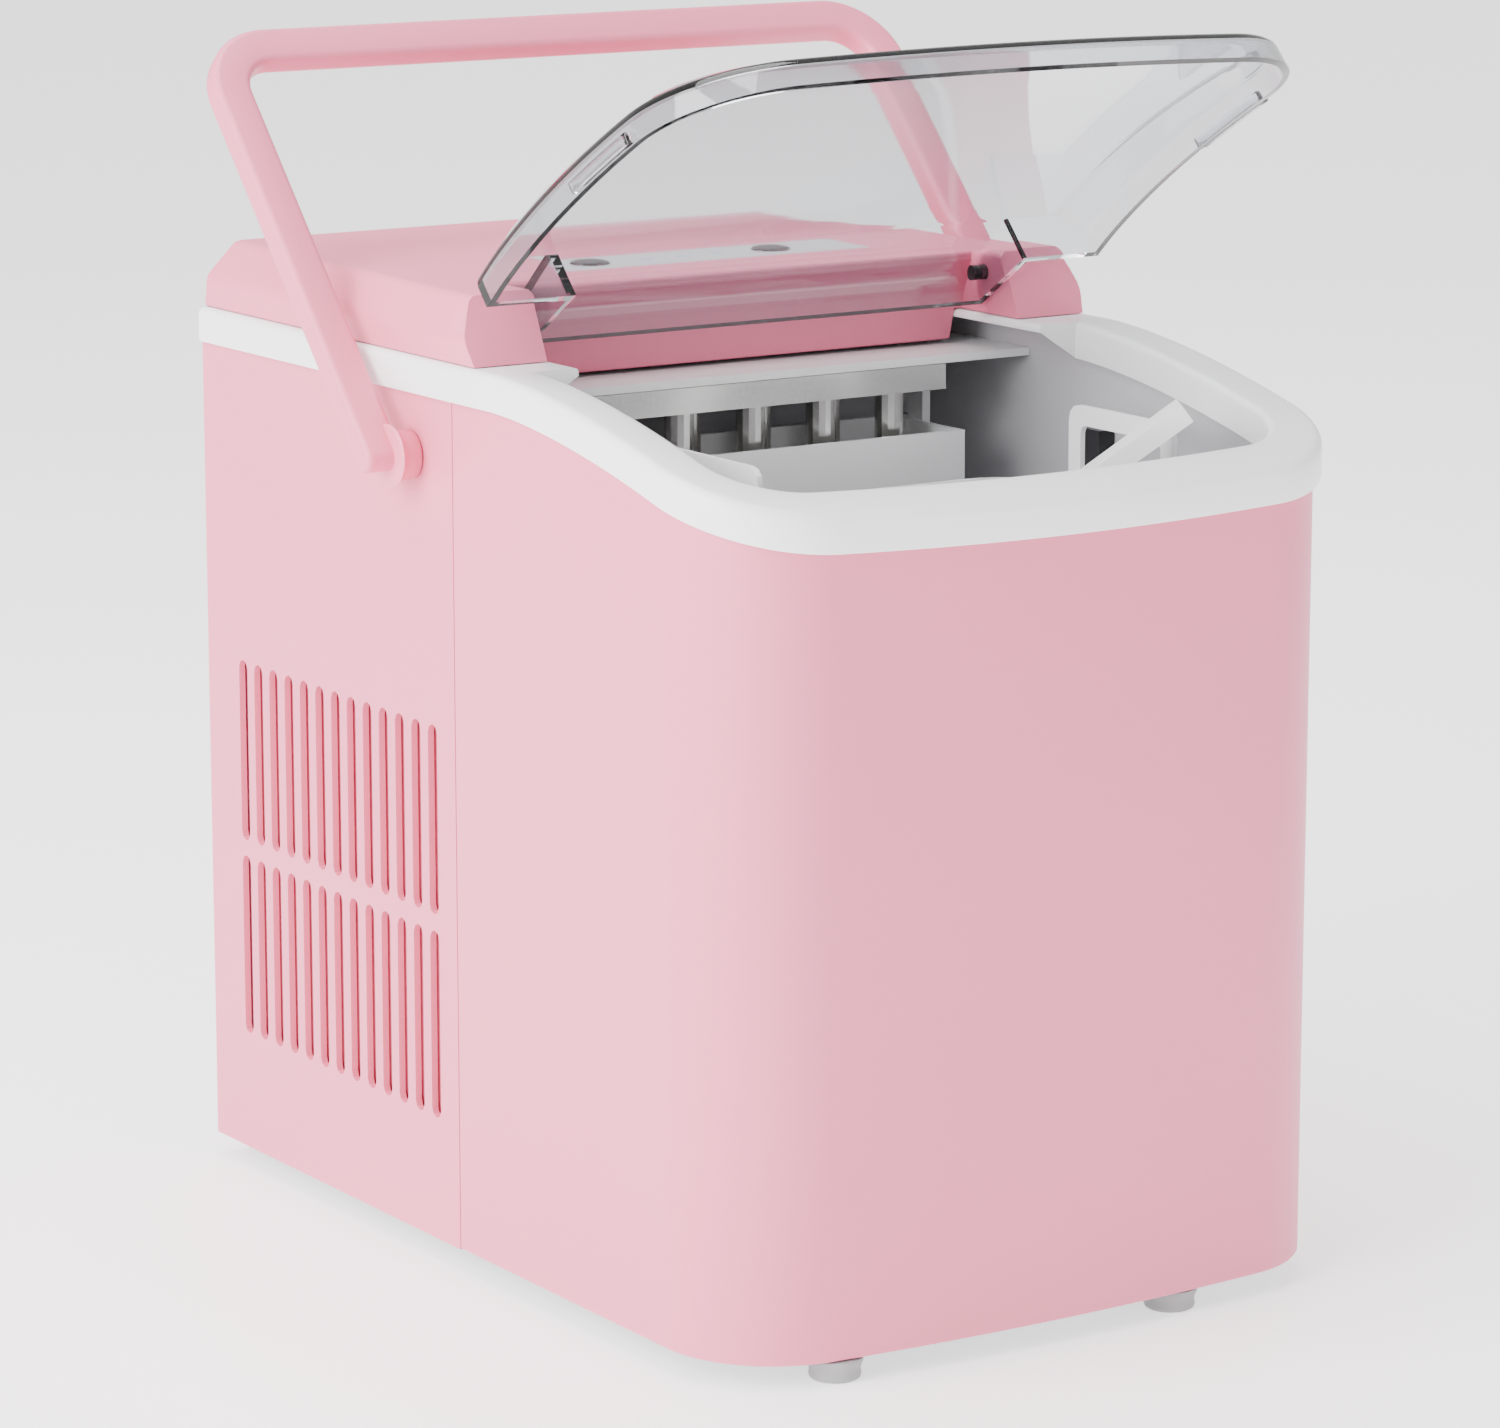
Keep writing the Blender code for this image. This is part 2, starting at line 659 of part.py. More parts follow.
def make_top_rim():
    rear = HALF_DEPTH + RIM_OVERHANG
    ring = [body_outline(-RIM_OVERHANG, rear), opening_outline(0.0)]
    low = RIM_TOP - RIM_BAND - WAVE_DROP * 2
    rim = as_part("top_rim", prism(ring, low, RIM_TOP + OVERCUT), WHITE)
    reach = (RIM_FRONT_Y - OVERCUT, rear + OVERCUT, BODY_WIDTH)
    keep_inside(rim, as_cutter("rim_band", wave_slab(RIM_TOP - RIM_BAND, RIM_TOP, *reach)))
    inner = HALF_WIDTH + GAP
    meet = RIM_STEP_Y + RIM_LIP + OVERCUT
    groove_ring = front_run(-GAP, meet) + front_run(RIM_WIDTH - RIM_OVERHANG - RIM_LIP, meet)[::-1]
    groove = as_cutter("rim_groove_front", prism(groove_ring, low - OVERCUT, RIM_TOP))
    keep_inside(groove, as_cutter("groove_wave", wave_slab(
        RIM_TOP - RIM_BAND - OVERCUT * 2, RIM_TOP - RIM_PLATE, *reach)))
    rear_low = (-inner, RIM_STEP_Y + RIM_LIP, RIM_TOP - RIM_BAND - WAVE_DROP)
    rear_high = (inner, HALF_DEPTH + GAP, RIM_TOP - RIM_PLATE)
    return cut(rim, groove, as_cutter("rim_groove_rear", box(rear_low, rear_high)))


def housing_section(y, inset, bottom):
    """The housing's cross-section at y; the chamfers steepen and the flat top widens to the front."""
    share = (y - CHEEK_FRONT_Y) / (HALF_DEPTH - CHEEK_FRONT_Y)
    side, rise, flat = (front + (rear - front) * share for front, rear in zip(HOUSING_FRONT, HOUSING_REAR))
    right = [(HALF_WIDTH - inset, bottom), (side - inset, HOUSING_BOTTOM + rise - inset * 0.4),
             (flat - inset * 0.45, HOUSING_TOP - inset)]
    return right + [(-x, z) for x, z in reversed(right)]


def housing_form(inset, bottom, front_y, rear_y):
    """A closed solid through the housing's cross-sections between two planes."""
    shape = bmesh.new()
    stations = [front_y + (rear_y - front_y) * k / HOUSING_STEPS for k in range(HOUSING_STEPS + 1)]
    rings = [[shape.verts.new((x, y, z)) for x, z in housing_section(y, inset, bottom)] for y in stations]
    count = len(rings[0])
    for ahead, behind in zip(rings, rings[1:]):
        for k in range(count):
            n = (k + 1) % count
            shape.faces.new((ahead[k], ahead[n], behind[n], behind[k]))
    shape.faces.new(rings[0])
    shape.faces.new(rings[-1])
    bmesh.ops.triangulate(shape, faces=shape.faces)
    bmesh.ops.recalc_face_normals(shape, faces=shape.faces)
    return mesh_from_bmesh("housing_form", shape)


def front_of_cheeks(inset):
    """What lies in front of the leaning cheek faces, as a side profile."""
    height = HOUSING_TOP - HOUSING_BOTTOM
    slope = CHEEK_LEAN / height
    rise = OVERCUT * 4
    low = CHEEK_FRONT_Y + inset
    return [(low - slope * rise, HOUSING_BOTTOM - rise), (low + CHEEK_LEAN + slope * rise, HOUSING_TOP + rise),
            (-HALF_DEPTH, HOUSING_TOP + rise), (-HALF_DEPTH, HOUSING_BOTTOM - rise)]


def apron_line(offset):
    """The apron's leaning line from above the top edge to its lower lip."""
    slope = APRON_LEAN / APRON_DROP
    return [(APRON_Y + offset - slope * OVERCUT, HOUSING_TOP + OVERCUT),
            (APRON_Y + offset + APRON_LEAN, HOUSING_TOP - APRON_DROP)]


def recess_profile(offset, bottom):
    """The space between the cheeks in front of the apron, as a side profile."""
    upper, lower = apron_line(offset)
    return [upper, lower, (lower[0], bottom), (-HALF_DEPTH, bottom), (-HALF_DEPTH, upper[1])]


def make_top_housing():
    rear = HALF_DEPTH - 1 * MM
    outer = housing_form(0.0, HOUSING_BOTTOM, CHEEK_FRONT_Y - OVERCUT, rear)
    housing = as_part("top_housing", outer, PINK)
    cut(housing, as_cutter("cheek_front", prism(front_of_cheeks(0.0), -BODY_WIDTH, BODY_WIDTH, "X")))
    below = HOUSING_BOTTOM - OVERCUT * 3
    recess = prism(recess_profile(0.0, below), -CHEEK_INNER, CHEEK_INNER, "X")
    cut(housing, as_cutter("housing_recess", recess))
    hollow = as_cutter("housing_hollow", housing_form(
        HOUSING_WALL, below, CHEEK_FRONT_Y - OVERCUT, rear - HOUSING_WALL))
    cut(hollow, as_cutter("hollow_front", prism(front_of_cheeks(HOUSING_WALL), -BODY_WIDTH, BODY_WIDTH, "X")))
    inner = CHEEK_INNER + HOUSING_WALL
    cut(hollow, as_cutter("hollow_recess", prism(
        recess_profile(HOUSING_WALL, below - OVERCUT), -inner, inner, "X")))
    cut(housing, hollow)
    # the apron reaches down through the bin mouth and ends in a rounded lip
    upper, lower = apron_line(0.0)
    start = (APRON_Y + APRON_LEAN * 0.4 + WELD_INSET, HOUSING_TOP - APRON_DROP * 0.4)
    lip = arc((lower[0] + HOUSING_WALL / 2, lower[1]), HOUSING_WALL / 2 - WELD_INSET, 180, 360, 4)
    apron = [start] + lip + [(start[0] + HOUSING_WALL - 2 * WELD_INSET, start[1])]
    half = RIM_REAR_OPENING - RUNNING
    join(housing, as_cutter("apron_lip", prism(apron, -half, half, "X")))
    x, y = PANEL_CENTRE
    w, d = (size / 2 + GAP for size in PANEL_SIZE)
    pocket_floor = HOUSING_TOP - PANEL_THICKNESS - GAP
    pocket = box((x - w, y - d, pocket_floor), (x + w, y + d, HOUSING_TOP + OVERCUT))
    cut(housing, as_cutter("panel_pocket", pocket))
    holes = [cylinder(BUTTON_STEM + RUNNING, HOUSING_TOP - OVERCUT * 2, HOUSING_TOP + OVERCUT, (bx, y),
                      segments=16) for bx in BUTTON_X]
    pins = [cylinder(LID_PIN_RADIUS + RUNNING / 2, side * CHEEK_INNER - OVERCUT, side * CHEEK_INNER + OVERCUT,
                     (LID_HINGE_Y, LID_HINGE_Z), "X", 16) for side in (-1, 1)]
    return cut(housing, as_cutter("button_holes", joined(holes)), as_cutter("hinge_holes", joined(pins)))


def make_control_panel():
    x, y = PANEL_CENTRE
    w, d = (size / 2 for size in PANEL_SIZE)
    outline = rounded_rectangle(w, d, 1.5 * MM, (x, y), 2)
    low = HOUSING_TOP - PANEL_THICKNESS
    panel = as_part("control_panel", prism(outline, low, HOUSING_TOP), GREY)
    wells = [cylinder(BUTTON_RADIUS + RUNNING, low - OVERCUT, HOUSING_TOP + OVERCUT, (bx, y), segments=24)
             for bx in BUTTON_X]
    wells += [cylinder(LENS_RADIUS + GAP, low - OVERCUT, HOUSING_TOP + OVERCUT, (lx, y), segments=16)
              for lx in LENS_X]
    cut(panel, as_cutter("panel_holes", joined(wells)))
    for name, bx in zip(("power_button", "select_button"), BUTTON_X):
        head = BUTTON_PROUD
        floor = head - PANEL_THICKNESS
        profile = [(0.0, head), (BUTTON_RADIUS * 0.8, head), (BUTTON_RADIUS, head - 0.5 * MM),
                   (BUTTON_RADIUS, floor + BUTTON_TRAVEL), (BUTTON_STEM, floor + BUTTON_TRAVEL),
                   (BUTTON_STEM, -HOUSING_WALL - 3 * MM), (0.0, -HOUSING_WALL - 3 * MM)]
        button = as_part(name, turned(profile, 24), DARK)
        button.location = (bx, y, HOUSING_TOP)
    for k, lx in enumerate(LENS_X):
        lens = as_part("indicator_lens_%d" % (k + 1),
                       cylinder(LENS_RADIUS, 0.0, PANEL_THICKNESS, segments=16), LENS)
        lens.location = (lx, y, low)


def make_control_board():
    x, y = PANEL_CENTRE
    w, d, t = BOARD_SIZE
    top = HOUSING_TOP - HOUSING_WALL - BOARD_DROP
    board = as_part("control_board", box((x - w / 2, y - d / 2, top - t), (x + w / 2, y + d / 2, top)), BOARD)
    posts = []
    for sx in (-1, 1):
        for sy in (-1, 1):
            place = (x + sx * (w / 2 - 5 * MM), y + sy * (d / 2 - 5 * MM))
            posts.append(cylinder(2.5 * MM, top - t / 2, HOUSING_TOP - HOUSING_WALL - GAP, place, segments=10))
    return join(board, as_cutter("board_posts", joined(posts)))


# ---- lid --------------------------------------------------------------------------------------
def lid_top(y):
    return LID_TOP - LID_DROP * wave(y)


def lid_surface():
    """The lid's outer skin in front of the cheeks: skirt, chamfer and top but for its rearmost face."""
    shape = bmesh.new()
    outer = front_run(0.0, LID_END_Y, LID_SIDE_STEPS)
    inner = front_run(LID_CHAMFER, LID_END_Y, LID_SIDE_STEPS)
    rings = []
    for outline, height in (
            (outer, lambda x, y: RIM_TOP + LID_LIFT - WAVE_DROP * wave(y)),
            (outer, lambda x, y: RIM_TOP + LID_LIFT + LID_SKIRT - WAVE_DROP * wave(y)),
            (inner, lambda x, y: lid_top(y))):
        rings.append([shape.verts.new((x, y, height(x, y))) for x, y in outline])
    for lower, upper in zip(rings, rings[1:]):
        for a, b, c, d in zip(lower, lower[1:], upper[1:], upper):
            shape.faces.new((a, b, c, d))
    crest = rings[-1]
    last = len(crest) - 1
    for k in range(1, last // 2):
        corners = [crest[k], crest[k + 1], crest[last - k - 1], crest[last - k]]
        if corners[1] is corners[2]:
            corners.pop(2)
        shape.faces.new(corners)
    return shape, rings


def make_lid():
    shape, rings = lid_surface()
    foot, shoulder, crest = rings
    last = len(crest) - 1
    bottom = RIM_TOP + LID_LIFT
    # the rearmost top face takes in the tongue's corners, so that the tongue joins it
    back = [shape.verts.new((side * LID_TONGUE, LID_END_Y, LID_TOP)) for side in (-1, 1)]
    low = [shape.verts.new((side * LID_TONGUE, LID_END_Y, bottom)) for side in (-1, 1)]
    rear = [shape.verts.new((side * LID_TONGUE, LID_TONGUE_REAR, LID_TOP)) for side in (-1, 1)]
    hem = [shape.verts.new((side * LID_TONGUE, LID_TONGUE_REAR, LID_TOP - LID_FLANGE)) for side in (-1, 1)]
    shape.faces.new((crest[0], crest[1], crest[last - 1], crest[last], back[1], back[0]))
    shape.faces.new((back[0], back[1], rear[1], rear[0]))
    shape.faces.new((rear[0], rear[1], hem[1], hem[0]))
    shape.faces.new((back[0], rear[0], hem[0], low[0]))
    shape.faces.new((back[1], low[1], hem[1], rear[1]))
    shape.faces.new((foot[0], shoulder[0], crest[0], back[0], low[0]))
    shape.faces.new((foot[last], low[1], back[1], crest[last], shoulder[last]))
    heel = [edge for edge in rear[0].link_edges if edge.other_vert(rear[0]) is rear[1]]
    bmesh.ops.bevel(shape, geom=heel, affect="EDGES", offset=LID_HEEL, segments=LID_HEEL_STEPS, profile=0.5,
                    material=-1)
    bmesh.ops.recalc_face_normals(shape, faces=shape.faces)
    up = max(shape.faces, key=lambda face: face.calc_area())
    if up.normal.z < 0:
        bmesh.ops.reverse_faces(shape, faces=shape.faces)
    hinge = (0.0, LID_HINGE_Y, LID_HINGE_Z)
    bmesh.ops.translate(shape, vec=[-value for value in hinge], verts=shape.verts)
    lid = as_part("lid", mesh_from_bmesh("lid", shape), CLEAR)
    wall = lid.modifiers.new("wall", "SOLIDIFY")
    wall.thickness = LID_WALL
    wall.offset = -1.0
    wall.solidify_mode = "NON_MANIFOLD"
    wall.nonmanifold_thickness_mode = "CONSTRAINTS"
    holes = [cylinder(LID_PIN_RADIUS + RUNNING / 2, side * LID_TONGUE - OVERCUT, side * LID_TONGUE + OVERCUT,
                      axis="X", segments=16) for side in (-1, 1)]
    bores = as_cutter("lid_bores", joined(holes))
    cut(lid, bores)
    lid.location = hinge
    bores.location = hinge
    lid.rotation_euler.x = -math.radians(LID_OPEN)
    bores.rotation_euler.x = -math.radians(LID_OPEN)
    return lid


def make_lid_pins():
    for side, name in ((-1, "left"), (1, "right")):
        ends = sorted((side * (LID_TONGUE - LID_WALL - 1.5 * MM), side * (CHEEK_INNER + HOUSING_WALL + 1 * MM)))
        pin = as_part("lid_pin_" + name, cylinder(LID_PIN_RADIUS, *ends, axis="X", segments=16), DARK)
        pin.location = (0.0, LID_HINGE_Y, LID_HINGE_Z)


# ---- carry handle -----------------------------------------------------------------------------
def make_handle():
    outer = HANDLE_OUTER
    inner = outer - HANDLE_WIDTH
    bend = HANDLE_BEND
    reach = HANDLE_REACH
    right = arc((outer - bend, reach - bend), bend, 0, 90, 6)
    left = [(-x, y) for x, y in reversed(right)]
    inside = arc((outer - bend, reach - bend), bend - HANDLE_WIDTH, 90, 0, 5)
    inside_left = [(-x, y) for x, y in reversed(inside)]
    foot = -HANDLE_FOOT
    outline = ([(outer, foot)] + right + left + [(-outer, foot), (-inner, foot)] + inside_left + inside
               + [(inner, foot)])
    mesh = prism(outline, -HANDLE_THICKNESS / 2, HANDLE_THICKNESS / 2)
    handle = as_part("carry_handle", mesh, PINK)
    soften(handle, 1.6 * MM, 2, 50)
    face = HALF_WIDTH + RUNNING
    flare = HANDLE_HUB_END
    profile = [(0.0, flare), (HANDLE_HUB_FLARE, flare), (HANDLE_HUB_FLARE - 0.9 * MM, flare - 0.9 * MM),
               (HANDLE_HUB, flare - 2.6 * MM), (HANDLE_HUB, face), (0.0, face)]
    for side, name in ((-1, "left"), (1, "right")):
        mesh = turned(profile, 24)
        mesh.transform(Matrix.Rotation(side * math.pi / 2, 4, "Y"))
        hub = as_cutter("handle_hub_" + name, mesh)
        bore_ends = sorted((side * (face - OVERCUT), side * (outer - 4 * MM)))
        bore = as_cutter("handle_bore_" + name,
                         cylinder(HANDLE_PIN + RUNNING, *bore_ends, axis="X", segments=16))
        join(handle, hub)
        cut(handle, bore)
        hub.parent = handle
        bore.parent = handle
    handle.location = (0.0, HANDLE_Y, HANDLE_Z)
    handle.rotation_euler.x = math.radians(HANDLE_TILT)
    return handle


def make_handle_pivots():
    tip = HANDLE_OUTER - 4 * MM - 2 * GAP
    seat = HALF_WIDTH - SHELL_WALL - GAP
    tail = seat - 3 * MM
    profile = [(0.0, tip), (HANDLE_PIN, tip), (HANDLE_PIN, seat), (HANDLE_PIN_HEAD, seat),
               (HANDLE_PIN_HEAD, tail), (0.0, tail)]
    for side, name in ((-1, "left"), (1, "right")):
        mesh = turned(profile, 24)
        mesh.transform(Matrix.Rotation(side * math.pi / 2, 4, "Y"))
        pivot = as_part("handle_pivot_" + name, mesh, PINK)
        pivot.location = (0.0, HANDLE_Y, HANDLE_Z)


# ---- bin --------------------------------------------------------------------------------------
def tub_outline(inset, rear):
    return front_run(inset, rear)


def lower_outline(shrink):
    x = TUB_LOWER_HALF - shrink
    middle = (TUB_LOWER_REAR + TUB_LOWER_FRONT) / 2
    return rounded_rectangle(x, (TUB_LOWER_REAR - TUB_LOWER_FRONT) / 2 - shrink, 12 * MM, (0.0, middle), 3)


def make_inner_tub():
    inset = TUB_OUTER_INSET
    upper = prism(tub_outline(inset, TUB_REAR_Y), TUB_LEDGE_Z - TUB_WALL, RIM_TOP)
    tub = as_part("inner_tub", upper, GREY)
    join(tub, as_cutter("tub_lower", prism(lower_outline(0.0), TUB_FLOOR_Z, TUB_LEDGE_Z)))
    inside = prism(tub_outline(inset + TUB_WALL, TUB_REAR_Y - TUB_WALL), TUB_LEDGE_Z, RIM_TOP + OVERCUT)
    lower = prism(lower_outline(TUB_WALL), TUB_FLOOR_Z + TUB_WALL, TUB_LEDGE_Z + OVERCUT)
    top = above_wave(RIM_TOP - RIM_PLATE - GAP)
    rear = box((-BODY_WIDTH, TUB_REAR_Y - OVERCUT, TUB_REAR_TOP), (BODY_WIDTH, TUB_REAR_Y + OVERCUT, RIM_TOP * 2))
    drain = cylinder(DRAIN_BORE, TUB_LOWER_HALF - OVERCUT, TUB_LOWER_HALF + OVERCUT, (DRAIN_Y, DRAIN_Z), "X", 16)
    return cut(tub, as_cutter("tub_inside", inside), as_cutter("tub_lower_inside", lower),
               as_cutter("tub_top", top), as_cutter("tub_rear_top", rear), as_cutter("tub_drain", drain))


def make_reservoir_grid():
    half = TUB_INNER_HALF - 1 * MM
    low = TUB_LEDGE_Z + GAP
    rear = TUB_REAR_Y - TUB_WALL - 1 * MM
    grid = as_part("reservoir_grid", box((-half, GRID_FRONT_Y, low), (half, rear, low + GRID_THICKNESS)), WHITE)
    slots = []
    for k in range(GRID_SLOTS):
        x = (k - (GRID_SLOTS - 1) / 2) * GRID_SLOT_WIDTH * 2.6
        outline = stadium(GRID_SLOT_WIDTH, GRID_FRONT_Y + 8 * MM, TUB_LOWER_REAR - 6 * MM, x, 3)
        slots.append(prism(outline, low - OVERCUT, low + OVERCUT))
    return cut(grid, as_cutter("grid_slots", joined(slots)))


def make_drain():
    start = TUB_LOWER_HALF + GAP
    end = HALF_WIDTH - SHELL_WALL - GAP
    spout = as_part("drain_spout", cylinder(DRAIN_RADIUS, start, end, (DRAIN_Y, DRAIN_Z), "X", 20), WHITE)
    bore = cylinder(DRAIN_BORE, start - OVERCUT, end + OVERCUT, (DRAIN_Y, DRAIN_Z), "X", 20)
    cut(spout, as_cutter("spout_bore", bore))
    face = HALF_WIDTH + GAP
    stem = DRAIN_BORE - RUNNING
    profile = [(0.0, face + DRAIN_CAP_PROUD), (DRAIN_CAP_RADIUS - 1 * MM, face + DRAIN_CAP_PROUD),
               (DRAIN_CAP_RADIUS, face + DRAIN_CAP_PROUD - 1 * MM), (DRAIN_CAP_RADIUS, face), (stem, face),
               (stem, face - 12 * MM), (stem - 1 * MM, face - 13 * MM), (0.0, face - 13 * MM)]
    mesh = turned(profile, 24)
    mesh.transform(Matrix.Rotation(math.pi / 2, 4, "Y"))
    plug = as_part("drain_plug", mesh, RUBBER)
    plug.location = (0.0, DRAIN_Y, DRAIN_Z)


def tapered(outline, low, high, shrink):
    """An outline about the origin that grows from the bottom to the top by shrink on each side."""
    mesh = prism(outline, low, high)
    wide = max(x for x, _ in outline)
    deep = max(y for _, y in outline)
    for vertex in mesh.vertices:
        share = (high - vertex.co.z) / (high - low)
        vertex.co.x *= 1 - share * shrink / wide
        vertex.co.y *= 1 - share * shrink / deep
    return mesh


def slot_row(count, pitch, width, low, high):
    return [stadium(width, low, high, (k - (count - 1) / 2) * pitch) for k in range(count)]


def make_basket():
    x, y = BASKET_TOP_HALF
    height = BASKET_HEIGHT
    outer = tapered(rounded_rectangle(x, y, BASKET_CORNER, steps=6), 0.0, height, BASKET_TAPER)
    basket = as_part("ice_basket", outer, WHITE)
    wall = BASKET_WALL
    plate = [stadium_loop(LOOP_HALF, height - 14 * MM, height + LOOP_HEIGHT),
             loop_window(LOOP_HALF - LOOP_BAR, height + 2 * MM, height + LOOP_HEIGHT - LOOP_BAR)]
    for side in (-1, 1):
        ends = sorted((side * (x - wall * 0.05), side * (x - wall * 0.95)))
        join(basket, as_cutter("loop_%d" % (side + 1), prism(plate, *ends, "X")))
    inner = tapered(rounded_rectangle(x - wall, y - wall, BASKET_CORNER - wall, steps=6),
                    BASKET_FLOOR, height + OVERCUT, BASKET_TAPER)
    cut(basket, as_cutter("basket_inside", inner))
    low, high = BASKET_SLOT_LOW, BASKET_SLOT_LOW + BASKET_SLOT_HEIGHT
    long_slots = [prism(outline, -y - OVERCUT, y + OVERCUT, "Y")
                  for outline in slot_row(*BASKET_LONG_SLOTS, low, high)]
    short_slots = [prism(outline, -x - OVERCUT, x + OVERCUT, "X")
                   for outline in slot_row(*BASKET_SHORT_SLOTS, low, high)]
    cut(basket, as_cutter("basket_long_slots", joined(long_slots)),
        as_cutter("basket_short_slots", joined(short_slots)))
    basket.location = (0.0, BASKET_Y, TUB_LEDGE_Z + GAP)
    for step in basket.modifiers:
        step.object.parent = basket
    return basket


def stadium_loop(half, low, high):
    """A loop handle's outline, in YZ, with rounded upper corners."""
    radius = LOOP_BAR * 0.8
    right = arc((half - radius, high - radius), radius, 0, 90, 3)
    left = [(-a, b) for a, b in reversed(right)]
    return [(half, low)] + right + left + [(-half, low)]


def loop_window(half, low, high):
    return rounded_rectangle(half, (high - low) / 2, 2.5 * MM, (0.0, (high + low) / 2), 2)


def make_scoop():
    """Made along +Y with its mouth up, the tip at the origin, and then leaned in the basket."""
    radius = SCOOP_RADIUS
    bowl = SCOOP_BOWL

    def bullet(r, tip, heel):
        nose = [(r * math.cos(math.radians(a)), heel - r + r * math.sin(math.radians(a)))
                for a in range(90, -1, -15)]
        mesh = turned([(0.0, heel)] + nose[1:] + [(r, tip), (0.0, tip)], 24)
        mesh.transform(Matrix.Rotation(-math.pi / 2, 4, "X"))
        return mesh

    scoop = as_part("ice_scoop", bullet(radius, 0.0, bowl), WHITE)
    inside = as_cutter("scoop_inside", bullet(radius - SCOOP_WALL, -OVERCUT, bowl - SCOOP_WALL))
    mouth = [(-OVERCUT, -radius * 0.85), (bowl * 0.55, radius * 0.07), (bowl + OVERCUT, radius * 0.3),
             (bowl + OVERCUT, radius * 3), (-OVERCUT, radius * 3)]
    cut(scoop, as_cutter("scoop_mouth", prism(mouth, -radius * 2, radius * 2, "X")), inside)
    w, t = SCOOP_GRIP
    grip = [(-w * 0.35, bowl - SCOOP_WALL * 0.6), (w * 0.35, bowl - SCOOP_WALL * 0.6),
            (w / 2, SCOOP_LENGTH), (-w / 2, SCOOP_LENGTH)]
    join(scoop, as_cutter("scoop_grip", prism(grip, -t - 1 * MM, -1 * MM)))
    for step in scoop.modifiers:
        step.object.parent = scoop
    rise = Matrix.Rotation(math.radians(SCOOP_RISE), 4, "X")
    turn = Matrix.Rotation(math.radians(-90 - SCOOP_TURN), 4, "Z")
    place = Vector(SCOOP_TIP) + turn @ rise @ Vector((0.0, 0.0, radius))
    scoop.location = place
    scoop.rotation_euler = (turn @ rise).to_euler()
    return scoop


# ---- ice making -------------------------------------------------------------------------------
def make_evaporator():
    w, d, t = MANIFOLD_SIZE
    y = sum(row[0] for row in FINGER_ROWS) / len(FINGER_ROWS)
    top = FRAME_PLATE_Z - GAP
    manifold = box((-w / 2, y - d / 2, top - t), (w / 2, y + d / 2, top))
    evaporator = as_part("evaporator", manifold, CHROME)
    fingers = []
    for row_y, count in FINGER_ROWS:
        for k in range(count):
            x = (k - (count - 1) / 2) * FINGER_PITCH
            profile = [(0.0, top - t + 2 * MM), (FINGER_RADIUS, top - t + 2 * MM),
                       (FINGER_RADIUS, top - t - FINGER_LENGTH + FINGER_RADIUS / 2),
                       (FINGER_RADIUS / 2, top - t - FINGER_LENGTH), (0.0, top - t - FINGER_LENGTH)]
            fingers.append(moved(turned(profile, 14), (x, row_y, 0.0)))
    return join(evaporator, as_cutter("evaporator_fingers", joined(fingers)))


def make_evaporator_frame():
    low_y, high_y = FRAME_Y
    plate = box((-FRAME_HALF, low_y, FRAME_PLATE_Z), (FRAME_HALF, high_y, FRAME_PLATE_Z + FRAME_PLATE))
    frame = as_part("evaporator_frame", plate, WHITE)
    hinge_y, hinge_z = TRAY_HINGE
    for side in (-1, 1):
        ends = sorted((side * EAR_INNER, side * (EAR_INNER + EAR_THICKNESS)))
        ear = box((ends[0], hinge_y - 9 * MM, hinge_z - 8 * MM), (ends[1], hinge_y + 9 * MM, FRAME_PLATE_Z + 1 * MM))
        join(frame, as_cutter("frame_ear_%d" % (side + 1), ear))
        hole = cylinder(TRUNNION_RADIUS + RUNNING, ends[0] - OVERCUT, ends[1] + OVERCUT, TRAY_HINGE, "X", 16)
        cut(frame, as_cutter("frame_hole_%d" % (side + 1), hole))
    return frame


def make_water_tray():
    """A trough with its hinge line at the top of its rear wall, origin on the hinge."""
    low = (-TRAY_HALF, -TRAY_DEPTH, -TRAY_HEIGHT)
    tray = as_part("water_tray", box(low, (TRAY_HALF, TRAY_WALL / 2, TRUNNION_RADIUS)), WHITE)
    inside = box((-TRAY_HALF + TRAY_WALL, -TRAY_DEPTH + TRAY_WALL, -TRAY_HEIGHT + TRAY_WALL),
                 (TRAY_HALF - TRAY_WALL, -TRAY_WALL / 2, OVERCUT))
    cut(tray, as_cutter("tray_inside", inside))
    reach = EAR_INNER + EAR_THICKNESS + 1 * MM
    for side in (-1, 1):
        ends = sorted((side * (TRAY_HALF - TRAY_WALL / 2), side * reach))
        join(tray, as_cutter("trunnion_%d" % (side + 1), cylinder(TRUNNION_RADIUS, *ends, axis="X", segments=16)))
    tray.location = (0.0, *TRAY_HINGE)
    for step in tray.modifiers:
        step.object.parent = tray
    return tray


def make_tray_motor():
    y, z = TRAY_HINGE
    inner = -(EAR_INNER + EAR_THICKNESS + 1 * MM + RUNNING)
    outer = -(TUB_INNER_HALF - 2 * MM)
    motor = as_part("tray_motor", box((outer, y - 13 * MM, z - 14 * MM), (inner, y + 13 * MM, z + 14 * MM)), DARK)
    return soften(motor, 1.5 * MM, 1)


